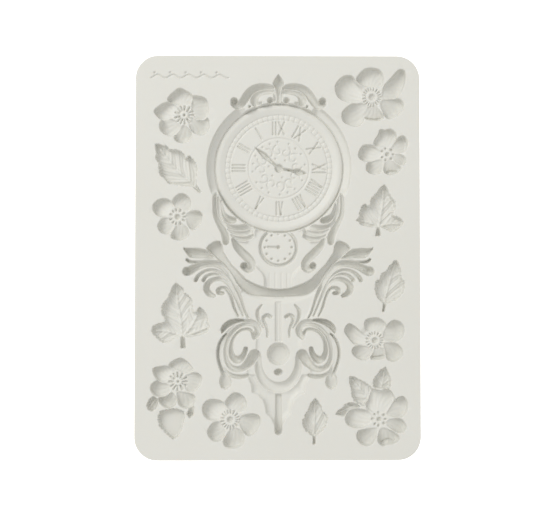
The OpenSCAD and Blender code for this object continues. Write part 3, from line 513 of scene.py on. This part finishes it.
# ---- Flowers ----------------------------------------------------------------------------------
# Eight open blossoms. Each petal is a dished hollow, shallower towards the middle. A flower is
# its centre, how many stamens stand round it, how far out they reach, the radius of the button
# in the middle, and its petals' outlines.
petal_depth = 4.4
stamen_depth = 1.4
button_depth = 1.5
flowers = [
    ((-48.7, 74), 13, 5.4, 0.8, [
        [(-50, 79), (-54.5, 80.2), (-57, 81.5), (-56.2, 83.4), (-53.5, 86), (-51, 87.5), (-48, 86.3),
         (-44.8, 84), (-45.2, 80.5)],
        [(-53, 75.5), (-52.6, 78.6), (-57.2, 80.2), (-61, 78.6), (-64, 75.8), (-62, 72.8), (-59.5, 71.4),
         (-55.5, 72.5)],
        [(-53.5, 71), (-57, 71.8), (-60.2, 70.8), (-61.2, 67.6), (-59.6, 64.6), (-55.6, 63),
         (-52.6, 64.6), (-50.6, 68)],
        [(-49, 68.6), (-51, 66.5), (-53.5, 62.6), (-52.4, 60.2), (-49.5, 59.4), (-46.6, 60.3),
         (-44.8, 63.2), (-46.6, 67)],
        [(-46, 69.5), (-45, 66), (-42, 64), (-38.5, 63.7), (-36.3, 65.6), (-35.8, 69), (-36.8, 72),
         (-41.5, 70.8), (-44, 72)],
        [(-44.8, 75.5), (-44.6, 79.5), (-44.2, 83.2), (-41, 83.4), (-37.4, 82), (-36.4, 78.6),
         (-36.4, 74.5), (-38.5, 71.8), (-42.5, 72)]]),
    ((-52, 20.8), 11, 4.7, 1.5, [
        [(-50.5, 25), (-53.8, 26.5), (-54, 29.6), (-52, 31.8), (-49.6, 32.6), (-46.8, 31.2),
         (-45.3, 28.5), (-45.6, 25.2), (-47.8, 24.2)],
        [(-56, 23), (-58, 21.3), (-61.5, 21.3), (-64, 23.6), (-64.4, 26.6), (-62.4, 29), (-59, 30),
         (-56, 29), (-54.4, 26.4)],
        [(-55.5, 19.6), (-58.5, 20.2), (-61, 18.2), (-61.9, 15.6), (-60.4, 12.8), (-57.5, 12),
         (-55, 13.4), (-54, 16.4)],
        [(-51, 17.5), (-53.2, 15.4), (-54.8, 11.6), (-54.4, 9.6), (-50.5, 8.8), (-47, 10.2),
         (-46.2, 12.6), (-47.4, 15.6)],
        [(-47.8, 21.4), (-45.4, 23.2), (-41.4, 23.6), (-39.4, 22), (-39.6, 19.4), (-40.8, 16.4),
         (-43.6, 14.2), (-46.4, 16.2)]]),
    ((-51.5, -64.5), 12, 5.2, 0.7, [
        [(-51.5, -58.5), (-55, -57.3), (-55.8, -55.6), (-53.5, -53.7), (-50, -52.6), (-47, -54.2),
         (-44.8, -56.6), (-44, -59), (-47.5, -60.6)],
        [(-55, -62.6), (-53, -60.2), (-54.4, -58), (-57, -56.8), (-60.5, -56.8), (-64, -57.8),
         (-63.8, -60), (-62, -63.3), (-59, -64.4)],
        [(-56, -66.2), (-59.5, -65.4), (-62.8, -64.4), (-65.2, -66.6), (-64.8, -69.6), (-62, -71.8),
         (-58.5, -71.6), (-56, -69.6)],
        [(-54.4, -70.2), (-57.5, -72.2), (-61.3, -73.2), (-59.8, -76), (-57, -77.7), (-53.8, -77.2),
         (-52.2, -74)],
        [(-51.8, -69.8), (-51.6, -73.5), (-50, -76.8), (-46.8, -78), (-44, -76.8), (-42.8, -73),
         (-44.4, -71), (-48.6, -70)],
        [(-48.6, -65.5), (-48.2, -62), (-44, -60), (-40.8, -60.6), (-39.4, -62.6), (-40.4, -66.5),
         (-42.8, -69.2), (-46.6, -69.4)]]),
    ((-24.5, -84.2), 17, 5.4, 1.7, [
        [(-22.5, -80.2), (-25.5, -78.2), (-26.8, -75.2), (-24.8, -72), (-21.8, -70.4), (-18.6, -71.6),
         (-16.6, -74.4), (-16.6, -77.6), (-18.6, -79.8)],
        [(-28.4, -82.2), (-26.8, -79.2), (-27.6, -76), (-31, -74), (-35.4, -74), (-38.2, -76.4),
         (-38.3, -80.6), (-35.8, -83.5), (-31.6, -84)],
        [(-28.6, -86.6), (-30.8, -85.3), (-33.8, -86.4), (-35.9, -89.8), (-35, -93), (-32.2, -95),
         (-28.8, -94), (-27.2, -90.6)],
        [(-24.4, -89.4), (-26.2, -92), (-27.7, -95), (-26.8, -97.6), (-22.5, -98.4), (-18.8, -97.2),
         (-17.4, -94), (-18.6, -90.4), (-21, -88.6)],
        [(-19.8, -83.6), (-17.6, -82), (-13, -81.2), (-9.8, -82.4), (-9.2, -85), (-11, -89.6),
         (-14.6, -92.2), (-17.6, -90.2), (-19.4, -87)]]),
    ((49.3, 83.6), 19, 5.4, 1.8, [
        [(49.5, 88.4), (45, 89.5), (41.3, 92.2), (42.6, 95), (45.8, 97.8), (50, 98.3), (53.4, 97),
         (54.9, 93.5), (54.2, 89)],
        [(44.4, 86.6), (41, 90.6), (38.8, 94), (35, 94.2), (31.8, 91.8), (30.2, 89), (30.8, 85),
         (33.2, 82.2), (37.5, 80.8), (43, 81.2)],
        [(45, 80), (40, 79.8), (36.4, 78), (33.8, 75), (34.2, 71), (37.4, 69), (41, 68.3), (44, 70.2),
         (46.6, 77.8)],
        [(47.4, 78.6), (44.8, 75.6), (45.4, 72.8), (48.5, 71.4), (52.6, 71.4), (55, 72.6), (53.6, 75.6),
         (51.4, 78.6)],
        [(54.6, 81.8), (59, 82.4), (63.8, 82), (65.4, 79), (64, 75.4), (60.4, 72.8), (56.8, 72.6),
         (54.8, 76.4), (53.8, 79)],
        [(54.6, 83.2), (55.4, 88.4), (59, 93), (62.8, 97), (65, 97.6), (66.4, 96), (66.2, 91), (64.2, 86),
         (62, 83.4), (58, 82.8)]]),
    ((57.2, 53.6), 7, 3.9, 1.2, [
        [(57.8, 57.4), (53.6, 57.8), (50.5, 58.6), (50.8, 61), (52.6, 63.6), (53.4, 66), (56, 65.8),
         (58.6, 66.4), (61.2, 64.6), (61.6, 61.6), (60, 59.2)],
        [(55, 54), (52.4, 56), (49, 57.9), (45, 57.9), (43, 55.8), (42.2, 52.8), (43.8, 50.6), (47, 49.8),
         (51.6, 51)],
        [(54.4, 50.4), (50.5, 50.2), (46.8, 48.4), (46.6, 45), (49.6, 43.3), (53, 43.8), (54.4, 46.4)],
        [(57, 50.4), (55.6, 47.6), (55.6, 44.6), (58, 43), (61.6, 43.8), (64, 46), (62, 48.4), (59.2, 50.4)],
        [(59.8, 52.2), (60.4, 53.6), (64, 53.4), (66.2, 51.6), (66.4, 49), (64.8, 48), (61.6, 49.6)],
        [(59, 54.8), (59.6, 57.2), (61.6, 60.4), (64, 62.6), (66.2, 62.4), (67.4, 59.6), (66.8, 56.4),
         (65, 54.6), (61.6, 54.4)]]),
    ((50.4, -43.3), 17, 4.9, 1.6, [
        [(50.5, -39), (46.4, -38.4), (45.1, -35.6), (45.8, -32.9), (48.5, -32), (51.4, -31.8),
         (54.4, -33.2), (56, -35.4), (55, -38.4)],
        [(46.8, -41.6), (43, -39), (39.6, -36), (37, -34.8), (35.4, -36.4), (34.8, -38.6), (36.4, -41.2),
         (39.2, -44.6), (42.6, -45.3), (46.4, -44.6)],
        [(47.4, -47), (44, -46.2), (40.6, -46.4), (38.8, -48), (39.2, -50.4), (42, -52.6), (45, -53.2),
         (47.4, -52), (49.4, -49)],
        [(51, -47.4), (49.8, -49.2), (48.2, -52.4), (51, -53), (55.4, -52.2), (55.8, -50), (54.6, -47.4)],
        [(55, -45), (58.4, -44.6), (61.6, -45.2), (64.2, -48), (64.2, -51.2), (61.8, -53.4),
         (58.8, -53.8), (56.4, -52), (56, -48.6)],
        [(55, -42.6), (55.2, -38.8), (57, -35.4), (60, -33.1), (63.4, -34), (65.2, -36.6), (65, -40.2),
         (62.8, -43), (58.8, -44)]]),
    ((52.5, -84), 8, 4.2, 1.3, [
        [(50.5, -80.6), (47.2, -79), (45.8, -76.4), (47.2, -73.6), (48.2, -70.6), (49, -68.7),
         (51, -68.9), (53.4, -69.5), (55.6, -68.7), (58, -69.2), (59.6, -71.4), (60.5, -73.6),
         (58.4, -77), (55.6, -80.2)],
        [(49, -84.5), (48.4, -81.6), (45, -79.4), (40, -78.8), (36.6, -80.4), (35.2, -83.6),
         (36.4, -86.6), (41, -88.2), (45.6, -87.4)],
        [(51, -88.6), (46, -89.2), (41.8, -90.2), (41.2, -93.6), (43.6, -96.6), (47.2, -97.2),
         (50, -94.6), (51.2, -91.4)],
        [(54.4, -88.4), (52.4, -91), (52, -95), (54.2, -97.4), (57, -96.6), (60.6, -96), (62.8, -93.6),
         (60, -90.8)],
        [(56, -86.2), (57.4, -84.4), (60.6, -83.8), (64, -84.2), (66.2, -87.4), (65.2, -90.2),
         (62, -90.4), (58.6, -88.6)],
        [(56.4, -81.4), (58, -78.4), (60, -75.2), (62.6, -72.8), (65, -72.6), (66.8, -75), (66.8, -79),
         (64.4, -82.6), (60, -82.8)]]),
]


def petal(outline, centre):
    """One petal with steep walls; its floor is deepest at the tip and climbs to the flower's centre."""
    spot, away, _, within = edge_of(curve(outline, closed=True, steps=5), 0.5)
    out = np.hypot(gx[spot] - centre[0], gy[spot] - centre[1])
    turn = np.arctan2(gy[spot] - centre[1], gx[spot] - centre[0])
    floor = petal_depth * (0.45 + 0.55 * ease(out, 2, 14)) * (0.9 + 0.1 * ease(away, 0, 3))
    crinkle = 0.1 * np.sin(26 * turn + 0.9 * out) * ease(out, 4, 8)
    wall = np.clip((np.where(within, away, -away) + 0.25) / 0.9, 0, 1)
    press(spot, (floor + crinkle) * (1 - (1 - wall)**2.4)**(1 / 2.4))


for centre, stamens, reach, button, petals in flowers:
    for outline in petals:
        petal(outline, centre)
    spot = around(np.array([centre]), 6)
    r = np.hypot(gx[spot] - centre[0], gy[spot] - centre[1])
    around_it = np.arctan2(gy[spot] - centre[1], gx[spot] - centre[0])
    press(spot, 1.5 * ease(-r, -5.2, -3.6))
    bed = around(np.array([centre]), 10)
    press(bed, 1.4 * ease(-np.hypot(gx[bed] - centre[0], gy[bed] - centre[1]), -9.5, -6))
    spokes = np.clip(np.cos(stamens * around_it + 0.8 * np.sin(3 * around_it)), 0, 1)
    depth[spot] += stamen_depth * spokes * ease(r, button + 1, button + 1.6) * ease(-r, -reach, 0.6 - reach)
    depth[spot] += button_depth * ease(-r, -button, 0.5 - button)
    if button < 1:   # a small button has a ring of pollen dots round it
        dots = np.clip(np.cos(7 * around_it + 1), 0, 1) * np.clip(np.cos(2.6 * (r - 2.6)), 0, 1)
        depth[spot] += 0.8 * dots * ease(-r, -3.6, -3.2)

# folded lips on four of the petals
folds = [[(46, 72.6), (50, 71.9), (53.6, 72.3)],
         [(56.4, 43.8), (58.6, 44.8), (61, 44.8), (62.5, 44.4)],
         [(48.8, -51.9), (51.6, -52.2), (54.8, -51.4)],
         [(53.6, -96.4), (55.6, -95.2), (57.6, -94.6), (60, -95.6)]]
for fold in folds:
    scratch(fold, 0.7, 0.9)

# ---- Leaves ------------------------------------------------------------------------------------
# Toothed leaves, dished on both sides of the midrib, with fine side veins. A leaf is its
# outline and then its ribs, the midrib first, each from the tip to the stalk.
leaf_depth = 3.5
tooth_l = 1.9          # length of a tooth along the edge
tooth_depth = 0.5
vein_gap, fine_gap = 5.6, 1.9   # spacing of the side veins and of the finer ones between them
leaves = [
    # toothed leaf, upper left
    ([(-63.6, 58.6), (-61.8, 58.6), (-60, 57.8), (-57.8, 58), (-56, 55.9), (-53, 55.8), (-51.8, 55.6),
      (-49.6, 54.6), (-48.2, 52.8), (-47.6, 51), (-46, 52.9), (-44, 51), (-42.2, 48.4), (-41.6, 45.4),
      (-42, 41.6), (-42.4, 37.6), (-39.8, 33.6), (-40.6, 33.2), (-44.4, 36.6), (-48, 36.6), (-52, 37.2),
      (-57, 37.9), (-58, 39.6), (-61.4, 42.6), (-61.9, 46), (-61.7, 48.4), (-63.2, 50.4), (-63.7, 52),
      (-63, 53.4)],
     [(-62, 57), (-53.5, 46.5), (-44, 38), (-40.2, 33.3)]),
    # three-lobed leaf, lower left
    ([(-52.7, -13.5), (-50.4, -15.2), (-48.6, -16.2), (-48.2, -18.4), (-46, -20), (-44.2, -22),
      (-43.9, -26), (-43.5, -28.4), (-42.6, -29.4), (-41.7, -28), (-40.6, -25.6), (-38, -27.6),
      (-36.7, -29.6), (-36, -32.2), (-36.3, -34.2), (-35.2, -36.2), (-36.4, -38.8), (-40, -40.6),
      (-46, -41.6), (-48.2, -41.4), (-47.5, -47.2), (-50.1, -47.2), (-50, -41.2), (-52.5, -41.8),
      (-55.6, -44), (-59, -44.6), (-61.6, -43), (-64, -40.4), (-65.2, -38.2), (-64.4, -35.8),
      (-62, -34.4), (-58.4, -33.6), (-58.2, -32.2), (-60.2, -29.4), (-60, -25.6), (-58.6, -23),
      (-57, -21.4), (-55.4, -17.6), (-54, -14.8)],
     [(-52.7, -14), (-52, -24), (-50.5, -32), (-49.6, -40), (-48.8, -47)],
     [(-64.6, -38), (-57, -38.6), (-50, -41)], [(-41.2, -29), (-44.6, -35.6), (-49, -41)],
     [(-35.6, -36.2), (-42, -38.8), (-49, -41.4)]),
    # three-lobed leaf, upper right
    ([(55.5, 37.6), (56.8, 36), (58, 33.4), (59.2, 31.2), (60.4, 29.8), (61.3, 28.6), (61.5, 24.8),
      (60.2, 23.4), (60.1, 21.4), (62.6, 20.9), (64.2, 19.8), (65.4, 17.9), (64.4, 16), (62.4, 13.8),
      (59.6, 12.8), (57.2, 13.6), (55, 15), (53, 15.6), (53.4, 10.8), (50.8, 10.8), (51.6, 15.4),
      (46, 15.7), (43, 16.8), (42.2, 18.2), (40.6, 18.9), (42, 20), (42.6, 21.4), (42.1, 22.6),
      (43, 24.8), (43.4, 26.4), (45.4, 27.7), (47.4, 26.2), (48, 27.4), (48.3, 30.2), (50.2, 32.3),
      (52, 34.2), (52.6, 35.4), (54.2, 36.6)],
     [(55.2, 36), (54.8, 28), (53.5, 20), (52.8, 15.5), (52, 11)],
     [(41, 19), (46.4, 18.4), (52.6, 16)], [(64.8, 17.4), (58.8, 17.4), (53, 16)]),
    # long toothed leaf, right
    ([(61.6, -1.8), (62.6, -3.2), (63.4, -5), (64.1, -6.8), (64.2, -9.4), (64.6, -11.4), (65.8, -12.6),
      (66.2, -14.6), (65.4, -18.4), (63.8, -20.4), (61.2, -22.6), (57.6, -24), (56.2, -24), (55.2, -28.6),
      (54.2, -28.4), (54.8, -23.8), (52.2, -22.2), (51, -19.8), (50.2, -16.6), (50.5, -14), (51, -12.2),
      (53, -11.6), (53.2, -9.8), (54.2, -8.2), (56, -7.4), (57.2, -6), (57.8, -4.2), (59.4, -3.8),
      (60.2, -2.2)],
     [(61.5, -2.5), (58.5, -12), (55.6, -23), (54.7, -28.4)]),
    # small leaf at the foot of the clock
    ([(19.4, -73), (20.4, -74), (21.8, -75.8), (22.8, -77.4), (23.2, -79.6), (24.8, -80.8), (25.9, -82.6),
      (25.7, -85.8), (24.6, -88.2), (22.2, -90.8), (19.5, -92.6), (19.4, -96.8), (18.2, -96.8),
      (18.2, -92.6), (14.4, -90), (12.9, -87.4), (12.6, -84), (13.8, -83.4), (13.9, -81.4), (15.6, -79),
      (16.3, -77.2), (17, -75.6), (18.4, -74.2)],
     [(19.4, -73.5), (18.8, -92), (18.8, -96.6)]),
    # leaves behind the lower left flower
    ([(-60.6, -79.4), (-62, -83), (-61, -87.6), (-58.2, -90.4), (-55.8, -92.8), (-53.6, -94.5),
      (-51.2, -92.6), (-49.6, -89.6), (-48.4, -86), (-47.8, -82.6), (-48.2, -79.6), (-51, -78.4),
      (-54.6, -78), (-58, -78.8)],),
    ([(-46.8, -81), (-45.4, -83.4), (-43.6, -81.6), (-43, -77.6), (-43.8, -76.4), (-42.4, -72.4),
      (-44, -72.4), (-45, -75), (-45.4, -78)],
     [(-45.2, -82.8), (-44, -73)]),
    ([(-64.2, -71.8), (-66.6, -73.8), (-67.5, -76.8), (-66.6, -79), (-64.4, -79.9), (-62.8, -78.6),
      (-61.4, -76.4), (-62, -73.4)],
     [(-66.6, -78.4), (-63.2, -73.4)]),
    # three leaves behind the lower right flower
    ([(55.9, -56.9), (57, -59.6), (58.7, -63), (58.8, -66.6), (57.6, -68.8), (54.4, -67.9), (50.6, -68.3),
      (49.2, -66.8), (49.2, -63.8), (50.4, -61.8), (52, -60), (52.8, -58.4), (54.4, -58)],
     [(55.8, -57.4), (54, -67)]),
    ([(37, -61.8), (39.4, -62), (42.6, -63.4), (45.6, -65), (48, -66.8), (49.6, -68.8), (47.6, -72),
      (45.8, -75.4), (45.2, -77.6), (42.6, -76.6), (39.4, -74.6), (38, -71.6), (38, -69), (37.2, -66)],
     [(37.2, -62), (46.4, -73)]),
    ([(29.8, -81.4), (31.2, -79.4), (33.6, -78), (34.6, -76), (37.6, -75), (41, -76), (43, -77.6),
      (40, -78.3), (36.4, -79.8), (34.6, -82.6)],
     [(30, -81.2), (41.6, -76.6)]),
]
for outline, *ribs in leaves:
    ring = np.array(outline, float)
    spot, away, edge_part, within = edge_of(ring, 0.5)
    from_rib = np.full(away.shape, 99.0)
    along = np.zeros(away.shape)
    for rib in ribs:
        line = curve(rib)
        gap, part = nearest(gx[spot], gy[spot], line)
        closer = gap < from_rib
        from_rib[closer] = gap[closer]
        along[closer] = part[closer] * np.hypot(*np.diff(line, axis=0).T).sum()
    ring_l = np.hypot(*np.diff(ring, axis=0).T).sum()
    teeth = tooth_depth * (edge_part * ring_l / tooth_l % 1) * (from_rib > 2.2)
    wall = np.clip((away - teeth) / 0.9, 0, 1)
    dish = (1 - (1 - wall)**2.2)**(1 / 2.2)
    crease = 0.7 * ease(-from_rib, -1.0, -0.1) - 0.4 * ease(from_rib, 1, 8)
    sweep = along + 1.05 * from_rib + 0.5 * np.sin(0.8 * from_rib + 0.4 * along)
    veins = (0.22 * np.cos(2 * math.pi * sweep / vein_gap)
             + 0.16 * np.cos(2 * math.pi * sweep / fine_gap))
    press(spot, within * dish * (leaf_depth - crease + veins * ease(away, 0.3, 1.4)))

# ---- The finished face ---------------------------------------------------------------------------
# Rubber never keeps a perfectly sharp edge, so the whole field is softened a little.
for axis in (0, 1):
    depth = (np.roll(depth, 1, axis) + 2 * depth + np.roll(depth, -1, axis)) / 4
depth[[0, -1], :] = 0
depth[:, [0, -1]] = 0

place[order, 0] = gx.ravel()
place[order, 1] = gy.ravel()
place[order, 2] = (thickness - depth).ravel()
face_mesh.vertices.foreach_set("co", (place * MM).astype(np.float32).ravel())
face_mesh.update()

sheet_bm = bmesh.new()
sheet_bm.from_mesh(face_mesh)
straight_x, straight_y = width / 2 - corner, length / 2 - corner


def outline_ring(edges, out, down):
    """Extrudes the open rim once and sets the new ring a distance outwards and down, in millimetres."""
    made = bmesh.ops.extrude_edge_only(sheet_bm, edges=edges)["geom"]
    for v in made:
        if isinstance(v, bmesh.types.BMVert):
            x, y = v.co.x / MM, v.co.y / MM
            centre_x = min(max(x, -straight_x), straight_x)
            centre_y = min(max(y, -straight_y), straight_y)
            away = Vector((x - centre_x, y - centre_y)).normalized() * (corner_in + out)
            v.co = Vector((centre_x + away.x, centre_y + away.y, thickness - down)) * MM
    return [e for e in made if isinstance(e, bmesh.types.BMEdge)]


# the rounded upper edge, the upright side, the rounded lower edge and the flat underside
rim = [e for e in sheet_bm.edges if e.is_boundary]
for k in (1, 2, 3, 4):
    a = math.radians(22.5 * k)
    rim = outline_ring(rim, edge_round * math.sin(a), edge_round * (1 - math.cos(a)))
rim = outline_ring(rim, edge_round, thickness - edge_round)
for k in (1, 2, 3, 4):
    a = math.radians(22.5 * k)
    rim = outline_ring(rim, edge_round * math.cos(a), thickness - edge_round * (1 - math.sin(a)))
bmesh.ops.holes_fill(sheet_bm, edges=rim, sides=0)
bmesh.ops.triangulate(sheet_bm, faces=sheet_bm.faces[:])
bmesh.ops.recalc_face_normals(sheet_bm, faces=sheet_bm.faces[:])
body_mesh = bpy.data.meshes.new("silicone_sheet")
sheet_bm.to_mesh(body_mesh)
sheet_bm.free()
bpy.data.meshes.remove(face_mesh)

# extruding leaves the same faces in another order on each run, and the thinning below depends on
# it, so they are put in the order of their points
points = np.zeros(len(body_mesh.vertices) * 3, np.float32)
body_mesh.vertices.foreach_get("co", points)
corners = np.zeros(len(body_mesh.loops), np.int32)
body_mesh.loops.foreach_get("vertex_index", corners)
corners = corners.reshape(-1, 3)
lowest_first = (corners.argmin(1)[:, None] + np.arange(3)) % 3
corners = np.take_along_axis(corners, lowest_first, 1)
corners = corners[np.lexsort(corners.T[::-1])]
body_mesh.clear_geometry()
body_mesh.from_pydata(points.reshape(-1, 3).tolist(), [], corners.tolist())
body_mesh.shade_smooth()

# flat parts are thinned, and their shading is weighted by area, so that they still look flat
most_triangles = 185000
body = bpy.data.objects.new("silicone_sheet", body_mesh)
bpy.context.scene.collection.objects.link(body)
thin = body.modifiers.new("thin", "DECIMATE")
thin.ratio = min(1, most_triangles / len(body_mesh.polygons))
even = body.modifiers.new("even", "WEIGHTED_NORMAL")
even.weight = 60
thinned = bpy.data.meshes.new_from_object(body.evaluated_get(bpy.context.evaluated_depsgraph_get()))
body.modifiers.clear()
body.data = thinned
bpy.data.meshes.remove(body_mesh)


def colour(code):
    """Linear colour from an sRGB hex value."""
    parts = [int(code[k:k + 2], 16) / 255 for k in (1, 3, 5)]
    return [p / 12.92 if p <= 0.04045 else ((p + 0.055) / 1.055)**2.4 for p in parts] + [1]


def node(tree, kind, links=(), **settings):
    """Adds a node with its settings and links; a link is (input, node, output)."""
    made = tree.nodes.new(kind)
    for name, value in settings.items():
        if hasattr(made, name):
            setattr(made, name, value)
        else:
            made.inputs[name.replace("_", " ")].default_value = value
    for into, source, out in links:
        tree.links.new(source.outputs[out], made.inputs[into])
    return made


# Platinum-cured silicone rubber, cast: an even warm white, satin where light grazes it, and
# slightly see-through, so narrow ridges glow and shadows stay soft and warm. The cloudiness is
# filler that settled unevenly, in patches of about 45 mm, 22 to a metre. The tooth is the master's
# own, and the real one, about 0.1 mm, wouldn't show: it is drawn at 0.45 mm, 2200 to a metre.
silicone = bpy.data.materials.new("cast_silicone")
silicone.use_nodes = True
tree = silicone.node_tree
tree.nodes.clear()
place_on = node(tree, "ShaderNodeTexCoord")
cloud = node(tree, "ShaderNodeTexNoise", [("Vector", place_on, "Object")],
             Scale=22, Detail=3, Roughness=0.5)
tint = node(tree, "ShaderNodeMix", data_type="RGBA")
tint.inputs["A"].default_value = colour("#d5d4cd")
tint.inputs["B"].default_value = colour("#d2d1c9")
tree.links.new(cloud.outputs["Fac"], tint.inputs["Factor"])
tooth = node(tree, "ShaderNodeTexNoise", [("Vector", place_on, "Object")],
             Scale=2200, Detail=2, Roughness=0.6)
satin = node(tree, "ShaderNodeMapRange", [("Value", tooth, "Fac")], To_Min=0.44, To_Max=0.58)
grain = node(tree, "ShaderNodeBump", [("Height", tooth, "Fac")], Strength=0.12, Distance=0.00004)
shader = node(tree, "ShaderNodeBsdfPrincipled",
              [("Roughness", satin, "Result"), ("Normal", grain, "Normal")],
              IOR=1.41, Subsurface_Weight=0.1, Subsurface_Scale=0.0007)
shader.inputs["Subsurface Radius"].default_value = (1.0, 0.8, 0.6)
tree.links.new(tint.outputs["Result"], shader.inputs["Base Color"])
node(tree, "ShaderNodeOutputMaterial", [("Surface", shader, "BSDF")])
body.data.materials.append(silicone)
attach(body, "root")
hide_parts("mould_body")

# ---- Floor and light ---------------------------------------------------------------------------
# A white table top, a large soft light from the upper left, and an even fill from all round.
floor_bm = bmesh.new()
bmesh.ops.create_grid(floor_bm, x_segments=1, y_segments=1, size=3)
floor_mesh = bpy.data.meshes.new("floor")
floor_bm.to_mesh(floor_mesh)
floor_bm.free()
floor = bpy.data.objects.new("floor", floor_mesh)
floor.location.z = low.z - 0.0002
bpy.context.scene.collection.objects.link(floor)
white = bpy.data.materials.new("white_table")
white.use_nodes = True
tree = white.node_tree
tree.nodes.clear()
shader = node(tree, "ShaderNodeBsdfPrincipled", Base_Color=colour("#fafafa"), Roughness=0.9,
              Emission_Color=colour("#ffffff"), Emission_Strength=0.75)
node(tree, "ShaderNodeOutputMaterial", [("Surface", shader, "BSDF")])
floor_mesh.materials.append(white)


def area_light(name, size, power, spot, aim):
    """A square soft light at a point, turned to another point."""
    data = bpy.data.lights.new(name, "AREA")
    data.size = size
    data.energy = power
    lamp = bpy.data.objects.new(name, data)
    lamp.location = spot
    lamp.rotation_euler = (Vector(aim) - Vector(spot)).to_track_quat("-Z", "Y").to_euler()
    bpy.context.scene.collection.objects.link(lamp)


area_light("key", 1.1, 24, (-1.4, 1.2, 1.6), (0, 0, 0))
world = bpy.data.worlds.new("studio")
bpy.context.scene.world = world
world.use_nodes = True
world.node_tree.nodes["Background"].inputs["Color"].default_value = (1, 1, 1, 1)
world.node_tree.nodes["Background"].inputs["Strength"].default_value = 0.87
bpy.context.scene.view_settings.view_transform = "Standard"
